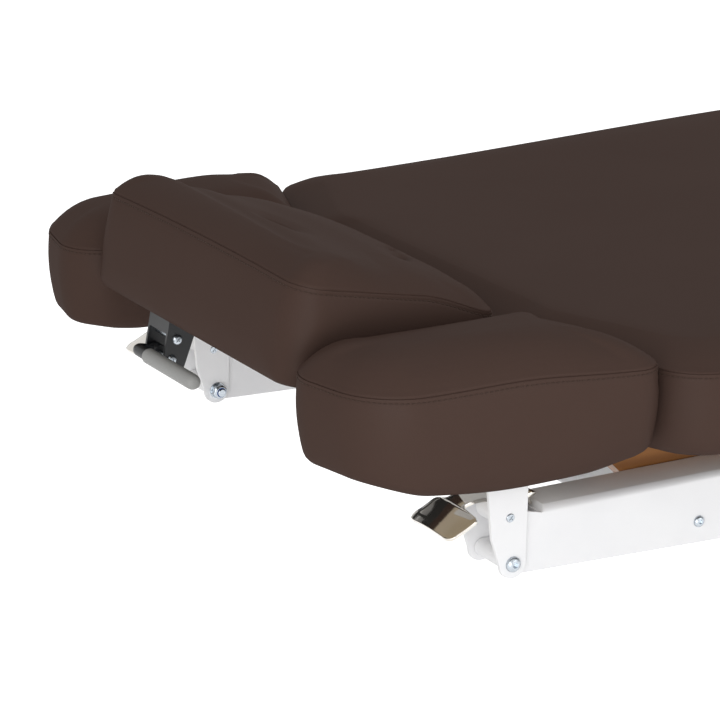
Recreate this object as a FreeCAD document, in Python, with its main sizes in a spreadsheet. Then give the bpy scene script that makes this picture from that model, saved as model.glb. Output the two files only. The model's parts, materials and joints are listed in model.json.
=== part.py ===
import FreeCAD, Part
import math
import os
import re

import Sketcher
from FreeCAD import Placement, Rotation, Vector

# Massage lounger: a lifting column carries a seat frame, a hinged back section, a tilting
# headrest and two drop-down arm rests.
#
# Millimetres and degrees. Places in the sheet are measured from the arm pivot axis: x runs to
# the foot end, z up from the pivot bolt, y from the centre plane (the right side is -y).
SIZES = {
    # arm pivot axis from the middle of the floor base
    "pivot_x": -842.0,
    "pivot_z": 430.0,
    # cushions
    "cushion_low": 88.0,
    "board_thick": 12.0,
    "back_board_head": 190.0,
    "back_board_half": 345.0,
    "seat_board_half": 355.0,
    "arm_board_head": -110.0,
    "arm_board_foot": 55.0,
    "arm_board_inner": 225.0,
    "arm_board_outer": 318.0,
    "body_seam": 166.0,
    "body_crown": 12.0,
    "body_head": 66.0,
    "body_foot": 1850.8,
    "body_half": 385.0,
    "shoulder_x": 139.0,
    "shoulder_half": 368.0,
    "shoulder_radius": 100.0,
    "fold_head": 725.0,
    "fold_foot": 875.0,
    "arm_seam": 173.0,
    "arm_crown": 15.0,
    "arm_inner": 198.0,
    "head_half": 192.0,
    "head_front": -232.0,
    "head_corner": 28.0,
    "head_rear": -26.0,
    "head_low": 29.0,
    "head_seam": 75.0,
    "head_crown": 15.0,
    "head_wedge": 4.7,
    # back section frame
    "beam_inner": 252.0,
    "beam_outer": 296.0,
    "beam_top": 44.0,
    "rail_inner": 225.0,
    "rail_outer": 249.0,
    "rail_low": -5.0,
    "rail_bevel": 184.0,
    "tube_size": 40.0,
    "tube_low": -18.0,
    "tube_wall": 3.0,
    "tube_front_x": 174.0,
    "tube_rear_x": 640.0,
    "bolt_z": 2.0,
    "bolt_head_radius": 5.25,
    "bolt_head_high": 3.3,
    "bolt_hole": 3.05,
    "bolt_radius": 3.0,
    # back hinge
    "hinge_x": 800.0,
    "hinge_z": 70.0,
    "hinge_radius": 6.0,
    "running_gap": 0.05,
    # headrest hinge and lock
    "head_x": 62.0,
    "head_z": 76.0,
    "head_pitch": 11.0,
    "bracket_inner": 127.0,
    "bracket_thick": 6.0,
    "arm_plate_inner": 118.0,
    "lock_y": 60.0,
    "quadrant_radius": 28.0,
    "pawl_gap": 0.6,
    # headrest release handle
    "handle_low_y": 88.0,
    "handle_high_y": 128.0,
    "handle_front": -197.0,
    "handle_rear": -165.0,
    "handle_low": -27.0,
    "handle_wall": 3.0,
    "handle_lip": 24.0,
    "screw_x": -186.3,
    "screw_z": 1.0,
    "screw_head_radius": 4.8,
    "screw_head_high": 2.5,
    "lever_x": -188.6,
    "lever_z": -18.4,
    "lever_pin_radius": 3.0,
    "lever_radius": 5.5,
    "grip_x": -213.0,
    "grip_z": -15.4,
    "grip_radius": 7.25,
    "grip_near": -7.5,
    "grip_far": 88.0,
    "lever_bend_y": 117.0,
    "lever_bend": 12.0,
    # arm bracket, pivot and paddle
    "ear_inner": 247.0,
    "ear_outer": 301.0,
    "ear_thick": 4.0,
    "ear_front": -24.5,
    "ear_rear": 15.0,
    "ear_round": 13.0,
    "plate_thick": 4.0,
    "pivot_bolt": 4.0,
    "pivot_head_radius": 7.0,
    "pivot_head_high": 4.4,
    "pivot_socket": 2.9,
    "nut_flats": 6.5,
    "nut_high": 8.0,
    "washer_radius": 8.0,
    "washer_thick": 1.6,
    "nose_radius": 8.0,
    "latch_x": -3.0,
    "latch_z": 42.0,
    "latch_radius": 3.75,
    "paddle_inner": 244.0,
    "paddle_outer": 312.0,
    "paddle_sheet": 3.0,
    "paddle_boss": 10.5,
    "neck_inner": 256.0,
    "neck_outer": 282.0,
    "claw_inner": 268.0,
    "claw_outer": 280.0,
    # seat frame
    "seat_head": 722.0,
    "seat_foot": 1560.0,
    "seat_inner": 205.0,
    "seat_outer": 245.0,
    "seat_low": -40.0,
    "seat_tube_x": 1230.0,
    "lug_thick": 6.5,
    "plate_low": -52.0,
    # back actuator
    "actuator_y": 150.0,
    "actuator_lug_x": 860.0,
    "actuator_lug_z": -80.0,
    "actuator_foot_x": 1250.0,
    "actuator_foot_z": -95.0,
    "actuator_tube": 20.0,
    "actuator_rod": 9.0,
    "actuator_pin": 5.0,
    # lifting column
    "column_x": 1000.0,
    "column_long": 300.0,
    "column_wide": 200.0,
    "column_wall": 4.0,
    "column_gap": 6.0,
    "column_top": -75.0,
    "inner_low": -372.0,
    "screw_radius": 10.0,
    "nut_low": -292.0,
    "nut_tube_radius": 25.0,
    # floor base
    "floor_z": -430.0,
    "foot_high": 12.0,
    "foot_radius": 25.0,
    "base_head": 665.0,
    "base_foot": 1500.0,
    "base_half": 280.0,
    "base_thick": 12.0,
    "base_corner": 40.0,
}
SIDES = (("right", -1), ("left", 1))

doc = FreeCAD.newDocument("massage_lounger")
sheet = doc.addObject("Spreadsheet::Sheet", "Sheet")
for row, (alias, size) in enumerate(SIZES.items(), 1):
    sheet.set(f"A{row}", alias)
    sheet.set(f"B{row}", str(size))
    sheet.setAlias(f"B{row}", alias)
doc.recompute()
nodes = []


def val(alias):
    return float(sheet.get(alias))


def bind(item, prop, text):
    words = re.sub(r"[a-z][a-z_]*[a-z]", lambda m: f"Sheet.{m[0]}" if m[0] in SIZES else m[0], text)
    item.setExpression(prop, words)


def place(item, x, y, z, frame="pivot"):
    # the head frame sits on the headrest hinge and is pitched up with the headrest
    if frame == "head":
        turned_x = f"({x}) * cos(head_pitch) + ({z}) * sin(head_pitch)"
        turned_z = f"({z}) * cos(head_pitch) - ({x}) * sin(head_pitch)"
        x, z = f"head_x + {turned_x}", f"head_z + {turned_z}"
    bind(item, "Placement.Base.x", f"pivot_x + {x}")
    bind(item, "Placement.Base.y", f"{y}")
    bind(item, "Placement.Base.z", f"pivot_z + {z}")


def pitch(item, frame):
    if frame == "head":
        item.Placement.Rotation = Rotation(Vector(0, 1, 0), val("head_pitch"))


def keep(item, label):
    item.Label = label
    nodes.append(item)
    return item


def span(sign, inner, outer):
    return (f"-({outer})", f"-({inner})") if sign < 0 else (inner, outer)


def box(name, x, y, z, frame="pivot"):
    item = doc.addObject("Part::Box", name)
    for prop, (low, high) in zip(("Length", "Width", "Height"), (x, y, z)):
        bind(item, prop, f"({high}) - ({low})")
    pitch(item, frame)
    place(item, x[0], y[0], z[0], frame)
    return item


def rod(name, radius, x, y, z, frame="pivot"):
    # cylinder across the lounger
    item = doc.addObject("Part::Cylinder", name)
    bind(item, "Radius", radius)
    bind(item, "Height", f"({y[1]}) - ({y[0]})")
    item.Placement.Rotation = Rotation(Vector(1, 0, 0), -90)
    place(item, x, y[0], z, frame)
    return item


def post(name, radius, x, y, z):
    # upright cylinder
    item = doc.addObject("Part::Cylinder", name)
    bind(item, "Radius", radius)
    bind(item, "Height", f"({z[1]}) - ({z[0]})")
    place(item, x, y, z[0])
    return item


def fuse(name, *items):
    item = doc.addObject("Part::MultiFuse", name)
    item.Shapes = list(items)
    return item


def cut(name, base, tool):
    item = doc.addObject("Part::Cut", name)
    item.Base = base
    item.Tool = tool
    return item


def group(name, items):
    item = doc.addObject("Part::Compound", name)
    item.Links = list(items)
    return item


def origin_plane(body, role):
    return [item for item in body.Origin.OriginFeatures if item.Role == role][0]


def profile(name, outline, y, holes=(), frame="pivot"):
    # flat plate: an outline of (x, z) corners, padded across the lounger from y[0] to y[1]
    body = doc.addObject("PartDesign::Body", name)
    sketch = body.newObject("Sketcher::SketchObject", name + "_outline")
    sketch.AttachmentSupport = [(origin_plane(body, "XZ_Plane"), "")]
    sketch.MapMode = "FlatFace"
    count = len(outline)
    start = [Vector(100 * math.cos(i * math.tau / count), 100 * math.sin(i * math.tau / count), 0)
             for i in range(count)]
    for i in range(count):
        sketch.addGeometry(Part.LineSegment(start[i], start[(i + 1) % count]))
    for i in range(count):
        sketch.addConstraint(Sketcher.Constraint("Coincident", i, 2, (i + 1) % count, 1))
    for i, (x, z) in enumerate(outline):
        for kind, text, first in (("DistanceX", x, start[i].x), ("DistanceY", z, start[i].y)):
            index = sketch.addConstraint(Sketcher.Constraint(kind, -1, 1, i, 1, first))
            bind(sketch, f"Constraints[{index}]", text)
    for x, z, radius in holes:
        ring = sketch.addGeometry(Part.Circle(Vector(1, 1, 0), Vector(0, 0, 1), 1))
        for kind, text in (("DistanceX", x), ("DistanceY", z)):
            index = sketch.addConstraint(Sketcher.Constraint(kind, -1, 1, ring, 3, 1.0))
            bind(sketch, f"Constraints[{index}]", text)
        index = sketch.addConstraint(Sketcher.Constraint("Radius", ring, 1.0))
        bind(sketch, f"Constraints[{index}]", radius)
    pad = body.newObject("PartDesign::Pad", name + "_pad")
    pad.Profile = sketch
    bind(pad, "Length", f"({y[1]}) - ({y[0]})")
    pitch(body, frame)
    place(body, "0", y[1], "0", frame)
    return body


def soften(body, radius, corners):
    # rounds the plate's edges that run across the lounger at the given (x, z) corners
    doc.recompute()
    pad = body.Tip
    names = []
    for number, edge in enumerate(pad.Shape.Edges, 1):
        ends = [vertex.Point for vertex in edge.Vertexes]
        across = len(ends) == 2 and abs(ends[0].x - ends[1].x) + abs(ends[0].z - ends[1].z) < 0.01
        if across and any(math.hypot(ends[0].x - x, ends[0].z - z) < 0.1 for x, z in corners):
            names.append(f"Edge{number}")
    fillet = body.newObject("PartDesign::Fillet", body.Name + "_round")
    fillet.Base = (pad, names)
    bind(fillet, "Radius", radius)
    return body


def cushion_wire(corners, insets, height):
    # level outline of lines and arcs: corners are (x, y, radius), counter-clockwise, and each
    # edge is drawn in by its own inset
    count = len(corners)
    ways = []
    for i in range(count):
        x, y = corners[i][:2]
        to_x, to_y = corners[(i + 1) % count][:2]
        length = math.hypot(to_x - x, to_y - y)
        ways.append(((to_x - x) / length, (to_y - y) / length))
    arcs = []
    for i, (x, y, radius) in enumerate(corners):
        (ax, ay), (bx, by) = ways[i - 1], ways[i]
        inset_a, inset_b = insets[i - 1], insets[i]
        cross = ax * by - ay * bx
        gap_x, gap_y = -by * inset_b + ay * inset_a, bx * inset_b - ax * inset_a
        step = (gap_x * by - gap_y * bx) / cross
        corner = Vector(x - ay * inset_a + ax * step, y + ax * inset_a + ay * step, height)
        turn = math.atan2(cross, ax * bx + ay * by)
        drawn_in = min(inset_a, inset_b)
        bend = max(radius - drawn_in, 3.0) if turn > 0 else radius + drawn_in
        reach = bend * math.tan(abs(turn) / 2)
        inward = Vector(bx - ax, by - ay, 0).normalize()
        middle = corner + inward * (bend / math.cos(turn / 2) - bend)
        arcs.append((corner - Vector(ax, ay, 0) * reach, middle, corner + Vector(bx, by, 0) * reach))
    edges = []
    for i, (first, middle, last) in enumerate(arcs):
        edges.append(Part.Arc(first, middle, last).toShape())
        edges.append(Part.LineSegment(last, arcs[(i + 1) % count][0]).toShape())
    return Part.Wire(edges)


def cushion_levels(low, seam, crown, reach, tuck):
    # (height, inset) from the tucked-in underside, up a slightly swollen wall, over the crown
    wall = seam - low
    levels = [(low, tuck), (low + 0.05 * wall, 0.5 * tuck), (low + 0.16 * wall, 0.15 * tuck)]
    levels += [(low + 0.45 * wall, -1.5), (low + 0.8 * wall, -1.0), (seam, 0.0)]
    for part in (0.08, 0.2, 0.4, 0.7, 1.0):
        levels.append((seam + crown * (1 - (1 - part) ** 2.2), reach * part))
    return levels


def loft(corners, levels, kinds, nose=None, turn=None):
    # kinds name each edge: a side takes the level's inset, a nose its rounded end, a cut none
    wires = []
    for height, inset in levels:
        by_kind = {"side": inset, "cut": 0.0, "nose": nose(height, inset) if nose else inset}
        wire = cushion_wire(corners, [by_kind[kind] for kind in kinds], height)
        wires.append(turn(wire, height) if turn else wire)
    return Part.makeLoft(wires, True, True)


def solid_piece(label, shape, frame="pivot"):
    item = doc.addObject("Part::Feature", label)
    item.Shape = shape
    base = Vector(val("pivot_x"), 0, val("pivot_z"))
    turn = Rotation()
    if frame == "head":
        base += Vector(val("head_x"), 0, val("head_z"))
        turn = Rotation(Vector(0, 1, 0), val("head_pitch"))
    item.Placement = Placement(base, turn)
    return keep(item, label)


def block(x, y, z):
    return Part.makeBox(x[1] - x[0], y[1] - y[0], z[1] - z[0], Vector(x[0], y[0], z[0]))


# Floor base and lifting column
base_low = "floor_z + foot_high"
base_high = "floor_z + foot_high + base_thick"


def floor_base():
    body = doc.addObject("PartDesign::Body", "floor_base")
    sketch = body.newObject("Sketcher::SketchObject", "floor_base_outline")
    sketch.AttachmentSupport = [(origin_plane(body, "XY_Plane"), "")]
    sketch.MapMode = "FlatFace"
    corners = [("base_head", "-base_half"), ("base_foot", "-base_half"),
               ("base_foot", "base_half"), ("base_head", "base_half")]
    start = [Vector(0, 0, 0), Vector(100, 0, 0), Vector(100, 100, 0), Vector(0, 100, 0)]
    for i in range(4):
        sketch.addGeometry(Part.LineSegment(start[i], start[(i + 1) % 4]))
    for i in range(4):
        sketch.addConstraint(Sketcher.Constraint("Coincident", i, 2, (i + 1) % 4, 1))
    for i, texts in enumerate(corners):
        for kind, text, first in zip(("DistanceX", "DistanceY"), texts, start[i]):
            index = sketch.addConstraint(Sketcher.Constraint(kind, -1, 1, i, 1, first))
            bind(sketch, f"Constraints[{index}]", text)
    pad = body.newObject("PartDesign::Pad", "floor_base_pad")
    pad.Profile = sketch
    bind(pad, "Length", "base_thick")
    doc.recompute()
    upright = [f"Edge{number}" for number, edge in enumerate(pad.Shape.Edges, 1)
               if abs(edge.Vertexes[0].Z - edge.Vertexes[1].Z) > 1]
    fillet = body.newObject("PartDesign::Fillet", "floor_base_corners")
    fillet.Base = (pad, upright)
    bind(fillet, "Radius", "base_corner")
    place(body, "0", "0", base_low)
    keep(body, "floor_base")


def column_tube(name, half_gap, low, high):
    # rectangular tube, drawn in from the outer column by half_gap on each side
    outer = box(name + "_outside",
                (f"column_x - column_long / 2 + {half_gap}", f"column_x + column_long / 2 - {half_gap}"),
                (f"{half_gap} - column_wide / 2", f"column_wide / 2 - {half_gap}"), (low, high))
    bore_gap = f"{half_gap} + column_wall"
    bore = box(name + "_bore",
               (f"column_x - column_long / 2 + {bore_gap}", f"column_x + column_long / 2 - ({bore_gap})"),
               (f"{bore_gap} - column_wide / 2", f"column_wide / 2 - ({bore_gap})"),
               (f"{low} - 1", f"{high} + 1"))
    return keep(cut(name, outer, bore), name)


def tube_across(name, x, half, low):
    # square tube across the lounger, open at both ends
    outside = box(name + "_outside", (x, f"{x} + tube_size"), (f"-{half}", half), (low, f"{low} + tube_size"))
    bore = box(name + "_bore", (f"{x} + tube_wall", f"{x} + tube_size - tube_wall"),
               (f"-{half} - 1", f"{half} + 1"), (f"{low} + tube_wall", f"{low} + tube_size - tube_wall"))
    return keep(cut(name, outside, bore), name)


def base():
    floor_base()
    foot_inset = "base_corner"
    feet = [post(f"foot_{end}_{side}", "foot_radius", x, f"{sign} * (base_half - {foot_inset})",
                 ("floor_z", base_low))
            for end, x in (("head", f"base_head + {foot_inset}"), ("tail", f"base_foot - {foot_inset}"))
            for side, sign in SIDES]
    keep(group("base_feet", feet), "base_feet")
    column_tube("column_outer", "0", base_high, "column_top")
    motor_high = f"{base_high} + 88"
    keep(post("lift_motor", "screw_radius + 35", "column_x", "0", (base_high, motor_high)), "lift_motor")
    keep(post("lift_screw", "screw_radius", "column_x", "0", (motor_high, "plate_low - 6")), "lift_screw")
    inlet = box("inlet_housing", ("base_foot - 90", "base_foot - 40"), ("-30", "30"),
                (base_high, f"{base_high} + 32"))
    socket = box("inlet_socket", ("base_foot - 58", "base_foot - 39"), ("-14", "14"),
                 (f"{base_high} + 6", f"{base_high} + 26"))
    keep(cut("mains_inlet", inlet, socket), "mains_inlet")


# Seat frame on the inner column
def lift_frame():
    column_tube("column_inner", "(column_wall + column_gap)", "inner_low", "plate_low")
    nut_high = "nut_low + 30"
    tube = post("nut_tube_outside", "nut_tube_radius", "column_x", "0", (nut_high, "plate_low"))
    tube_bore = post("nut_tube_bore", "nut_tube_radius - 5", "column_x", "0",
                     (f"{nut_high} - 1", "plate_low + 1"))
    keep(cut("nut_tube", tube, tube_bore), "nut_tube")
    nut = post("lift_nut_outside", "nut_tube_radius", "column_x", "0", ("nut_low", nut_high))
    thread = post("lift_nut_bore", "screw_radius + running_gap", "column_x", "0",
                  ("nut_low - 1", f"{nut_high} + 1"))
    keep(cut("lift_nut", nut, thread), "lift_nut")
    keep(box("lift_plate", ("column_x - column_long / 2", "column_x + column_long / 2"),
             ("-seat_outer", "seat_outer"), ("plate_low", "seat_low")), "lift_plate")
    for side, sign in SIDES:
        across = span(sign, "seat_inner", "seat_outer")
        outside = box(f"seat_beam_{side}_outside", ("seat_head", "seat_foot"), across,
                      ("seat_low", "beam_top"))
        bore = box(f"seat_beam_{side}_bore", ("seat_head - 1", "seat_foot + 1"),
                   span(sign, "seat_inner + tube_wall", "seat_outer - tube_wall"),
                   ("seat_low + tube_wall", "beam_top - tube_wall"))
        keep(cut(f"seat_beam_{side}", outside, bore), f"seat_beam_{side}")
        keep(box(f"seat_rail_{side}", ("fold_foot + 10", "body_foot - 50"), across,
                 ("beam_top", "cushion_low")), f"seat_rail_{side}")
    tube_across("seat_cross_tube", "seat_tube_x", "seat_inner", "seat_low")
    lugs, pins = [], []
    for side, sign in SIDES:
        across = span(sign, "seat_outer", "seat_outer + lug_thick")
        lug = box(f"seat_lug_{side}_plate", ("hinge_x - 22", "hinge_x + 22"), across,
                  ("seat_low + 10", "hinge_z + 15"))
        hole = rod(f"seat_lug_{side}_hole", "hinge_radius", "hinge_x", across, "hinge_z")
        lugs.append(cut(f"seat_lug_{side}", lug, hole))
        pins.append(rod(f"hinge_pin_{side}", "hinge_radius", "hinge_x",
                        span(sign, "seat_outer", "beam_outer + 3"), "hinge_z"))
    keep(group("seat_lugs", lugs), "seat_lugs")
    keep(group("hinge_pins", pins), "hinge_pins")
    cheeks = []
    for name, low, high in (("near", "actuator_y - 15", "actuator_y - 10"),
                            ("far", "actuator_y + 10", "actuator_y + 15")):
        cheeks.append(box(f"actuator_cheek_{name}", ("actuator_foot_x - 14", "actuator_foot_x + 14"),
                          (low, high), ("actuator_foot_z - 14", "seat_low")))
    cheeks.append(rod("actuator_foot_pin", "actuator_pin", "actuator_foot_x",
                      ("actuator_y - 15", "actuator_y + 15"), "actuator_foot_z"))
    keep(fuse("actuator_bracket", *cheeks), "actuator_bracket")


# Back section frame
def tilt_quadrant():
    across = ("lock_y - bracket_thick / 2", "lock_y + bracket_thick / 2")
    stem = profile("quadrant_stem",
                   [("tube_front_x", "tube_low + 2"), ("tube_front_x", "tube_low + tube_size - 6"),
                    ("head_x + 14", "head_z - 4"), ("head_x", "head_z - 20")], across)
    disc = rod("quadrant_disc", "quadrant_radius", "head_x", across, "head_z")
    notches = []
    for i in range(7):
        angle = 12 * i - 40
        notches.append(rod(f"quadrant_notch_{i}", "2", f"head_x - (quadrant_radius + 0.6) * cos({angle})",
                           across, f"head_z - (quadrant_radius + 0.6) * sin({angle})"))
    keep(cut("tilt_quadrant", fuse("quadrant_blank", stem, disc), group("quadrant_notches", notches)),
         "tilt_quadrant")


def back_frame():
    tubes = (("front", "tube_front_x"), ("rear", "tube_rear_x"))
    bolt_places = [f"{x} + tube_size / 2" for _, x in tubes]
    bolt_holes = [(x, "bolt_z", "bolt_hole") for x in bolt_places]
    bolts = []
    for side, sign in SIDES:
        beam = profile(f"back_beam_{side}", [
            ("-nose_radius", "-nose_radius"), ("4", "-nose_radius"), ("12", "-12"), ("216", "-18"),
            ("hinge_x - 30", "-36"), ("hinge_x + 22", "hinge_z - 18"), ("hinge_x + 22", "hinge_z + 15"),
            ("hinge_x - 22", "hinge_z + 15"), ("hinge_x - 40", "beam_top"), ("36", "beam_top"),
            ("32", "beam_top - 5"), ("12", "beam_top"), ("8.5", "nose_radius"),
            ("-nose_radius", "nose_radius")],
            span(sign, "beam_inner", "beam_outer"),
            bolt_holes + [("0", "0", "pivot_bolt + running_gap"),
                          ("hinge_x", "hinge_z", "hinge_radius + running_gap")])
        nose = val("nose_radius")
        soften(beam, "nose_radius - 0.2", [(-nose, -nose), (-nose, nose)])
        keep(beam, f"back_beam_{side}")
        keep(profile(f"wood_rail_{side}", [
            ("rail_bevel - rail_low", "rail_low"), ("fold_head - 10", "rail_low"),
            ("fold_head - 10", "cushion_low"), ("rail_bevel - cushion_low", "cushion_low")],
            span(sign, "rail_inner", "rail_outer"), bolt_holes), f"wood_rail_{side}")
        for i, x in enumerate(bolt_places):
            shank = rod(f"beam_shank_{side}_{i}", "bolt_radius", x, span(sign, "rail_inner", "beam_outer"),
                        "bolt_z")
            head = rod(f"beam_head_{side}_{i}", "bolt_head_radius", x,
                       span(sign, "beam_outer", "beam_outer + bolt_head_high"), "bolt_z")
            bolts.append(fuse(f"beam_bolt_{side}_{i}", shank, head))
    keep(group("beam_bolts", bolts), "beam_bolts")
    for end, x in tubes:
        tube_across(f"cross_tube_{end}", x, "rail_inner", "tube_low")
    brackets, pins = [], []
    for side, sign in SIDES:
        across = span(sign, "bracket_inner", "bracket_inner + bracket_thick")
        brackets.append(profile(f"head_bracket_{side}", [
            ("tube_front_x", "tube_low + 2"), ("tube_front_x", "tube_low + tube_size - 2"),
            ("head_x + 13", "head_z + 9"), ("head_x", "head_z + 13"), ("head_x - 13", "head_z"),
            ("head_x - 9", "head_z - 12")], across, [("head_x", "head_z", "hinge_radius")]))
        pins.append(rod(f"head_pin_{side}", "hinge_radius", "head_x",
                        span(sign, "arm_plate_inner - 5", "bracket_inner + bracket_thick + 3"), "head_z"))
    keep(group("head_brackets", brackets), "head_brackets")
    keep(group("head_pins", pins), "head_pins")
    tilt_quadrant()
    lug_x, lug_z = "actuator_lug_x", "actuator_lug_z"
    keep(profile("actuator_arm", [
        ("tube_rear_x + 4", "tube_low"), ("tube_rear_x + 4", "tube_low - 26"),
        (f"{lug_x} - 12", f"{lug_z} - 13"),
        (f"{lug_x} + 11", f"{lug_z} - 11"), (f"{lug_x} + 11", f"{lug_z} + 12"),
        ("tube_rear_x + tube_size - 4", "tube_low")], ("actuator_y - 3", "actuator_y + 3")), "actuator_arm")


# Back actuator, laid along the line from its foot pin to the lever arm
def actuator():
    foot = Vector(val("actuator_foot_x"), val("actuator_y"), val("actuator_foot_z"))
    lug = Vector(val("actuator_lug_x"), val("actuator_y"), val("actuator_lug_z"))
    way = (lug - foot).normalize()
    tube_radius, rod_radius = val("actuator_tube"), val("actuator_rod")
    tube_long, rod_start = 250.0, 60.0
    eye_wide, prong_gap, prong_thick = 8.0, 4.0, 5.0
    bore = Part.makeCylinder(rod_radius + val("running_gap"), tube_long, foot + way * (rod_start - 10), way)
    eye = Part.makeCylinder(12, 2 * eye_wide, foot - Vector(0, eye_wide, 0), Vector(0, 1, 0))
    pin_hole = Part.makeCylinder(val("actuator_pin") + val("running_gap"), 2 * eye_wide,
                                 foot - Vector(0, eye_wide, 0), Vector(0, 1, 0))
    tail = Part.makeCylinder(7, 30, foot, way)
    tube = Part.makeCylinder(tube_radius, tube_long - 24, foot + way * 24, way)
    motor_place = foot + way * 60 - Vector(0, 0, 62)
    motor = Part.makeCylinder(24, 62, motor_place, Vector(0, 0, 1))
    tube_shape = tube.fuse([eye, tail, motor]).cut(bore).cut(pin_hole).removeSplitter()
    reach = (lug - foot).Length
    stem = Part.makeCylinder(rod_radius, reach - 30 - rod_start, foot + way * rod_start, way)
    yoke_start = foot + way * (reach - 32)
    yoke = Part.makeCylinder(prong_gap + prong_thick, 14, yoke_start, way)
    prongs = [Part.makeCylinder(11, prong_thick, lug + Vector(0, side, 0), Vector(0, 1, 0))
              for side in (prong_gap, -prong_gap - prong_thick)]
    arms = []
    for low in (prong_gap, -prong_gap - prong_thick):
        bar = Part.makeBox(24, prong_thick, 12, Vector(0, low, -6))
        bar.Placement = Placement(lug, Rotation(Vector(1, 0, 0), way * -1)).multiply(bar.Placement)
        arms.append(bar)
    rod_shape = stem.fuse([yoke] + prongs + arms).removeSplitter()
    for label, shape in (("actuator_tube", tube_shape), ("actuator_rod", rod_shape)):
        solid_piece(label, shape)


# Body cushion: back section, fold section and seat section
def body_nose(height, inset):
    # bull-nosed head end: half round below the seam, drawn further back over the crown
    low, seam = val("cushion_low"), val("body_seam")
    if height > seam:
        return 12 + 0.9 * inset
    middle = low + 0.55 * (seam - low)
    return 46 * max(0.0, (middle - height) / (middle - low)) ** 2 + 12 * max(
        0.0, (height - middle) / (seam - middle)) ** 2


def body_cushions():
    low, seam, crown = val("cushion_low"), val("body_seam"), val("body_crown")
    half, head, foot = val("body_half"), val("body_head"), val("body_foot")
    shoulder_x, shoulder = val("shoulder_x"), val("shoulder_half")
    fold_head, fold_foot = val("fold_head"), val("fold_foot")
    levels = cushion_levels(low, seam, crown, 50, 12)
    board_low, board_top = low - 1, low + val("board_thick")
    back_half, seat_half = val("back_board_half"), val("seat_board_half")
    square, gap = 2.0, 0.3
    bend = val("shoulder_radius")
    back = loft([(head, -185, 80), (shoulder_x, -shoulder, bend), (fold_head, -half, square),
                 (fold_head, half, square), (shoulder_x, shoulder, bend), (head, 185, 80)],
                levels, ("side", "side", "cut", "side", "side", "nose"), body_nose)
    solid_piece("back_pad", back.cut(block((val("back_board_head"), fold_head - 5), (-back_half, back_half),
                                           (board_low, board_top))))
    fold = loft([(fold_head + gap, -half, square), (fold_foot - gap, -half, square),
                 (fold_foot - gap, half, square), (fold_head + gap, half, square)],
                levels, ("side", "cut", "side", "cut"))
    solid_piece("fold_pad", fold)
    seat = loft([(fold_foot, -half, square), (foot, -half, 70), (foot, half, 70), (fold_foot, half, square)],
                levels, ("side", "side", "side", "cut"))
    solid_piece("seat_pad", seat.cut(block((fold_foot + 15, foot - 25), (-seat_half, seat_half),
                                           (board_low, board_top))))
    keep(box("back_board", ("back_board_head", "fold_head - 5"), ("-back_board_half", "back_board_half"),
             ("cushion_low", "cushion_low + board_thick")), "back_board")
    keep(box("seat_board", ("fold_foot + 15", "body_foot - 25"), ("-seat_board_half", "seat_board_half"),
             ("cushion_low", "cushion_low + board_thick")), "seat_board")


# Headrest, built level on its hinge and pitched up with it
def headrest():
    low, seam, crown = val("head_low"), val("head_low") + val("head_seam"), val("head_crown")
    front, rear, half = val("head_front"), val("head_rear"), val("head_half")
    wedge = val("head_wedge")

    def turn(wire, height):
        share = min(1.0, (height - low) / (seam - low))
        wire.rotate(Vector(rear, 0, height), Vector(0, 1, 0), wedge * share)
        return wire

    radius = val("head_corner")
    corners = [(x, y, radius) for x, y in ((front, -half), (rear, -half), (rear, half), (front, half))]
    shape = loft(corners, cushion_levels(low, seam, crown, 42, 10), ("side",) * 4, turn=turn)
    top = seam + crown
    valley_x, valley_radius, valley_deep, tuft_radius, tuft_deep = -186.0, 60.0, 4.0, 26.0, 8.0
    valley_top = top + (rear - valley_x) * math.tan(math.radians(wedge))
    valley_start = Vector(valley_x, -half - 20, valley_top + valley_radius - valley_deep)
    shape = shape.cut(Part.makeCylinder(valley_radius, 2 * half + 40, valley_start, Vector(0, 1, 0)))
    for tuft_x, tuft_y in ((-161.0, -18.0), (-76.0, -92.0)):
        tuft_top = top + (rear - tuft_x) * math.tan(math.radians(wedge))
        centre = Vector(tuft_x, tuft_y, tuft_top + tuft_radius - tuft_deep)
        shape = shape.cut(Part.makeSphere(tuft_radius, centre))
    board_x, board_y = (front + 12, rear - 14), (-half + 16, half - 16)
    shape = shape.cut(block(board_x, board_y, (low - 1, low + val("board_thick"))))
    solid_piece("headrest_pad", shape, "head")
    keep(box("headrest_board", ("head_front + 12", "head_rear - 14"), ("16 - head_half", "head_half - 16"),
             ("head_low", "head_low + board_thick"), "head"), "headrest_board")
    arms = [profile(f"head_arm_{side}", [
        ("-130", "head_low"), ("-130", "head_low - 12"), ("-30", "2"), ("-12", "-12"), ("12", "-12"),
        ("12", "8"), ("-22", "20"), ("-34", "head_low")],
        span(sign, "arm_plate_inner", "arm_plate_inner + bracket_thick"),
        [("0", "0", "hinge_radius + running_gap")], "head") for side, sign in SIDES]
    keep(group("head_hinge_arms", arms), "head_hinge_arms")
    tip = "-(quadrant_radius + pawl_gap)"
    keep(box("lock_pawl", (f"{tip} - 16", tip), ("lock_y - 6", "lock_y + 6"), ("-6", "head_low"), "head"),
         "lock_pawl")


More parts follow.
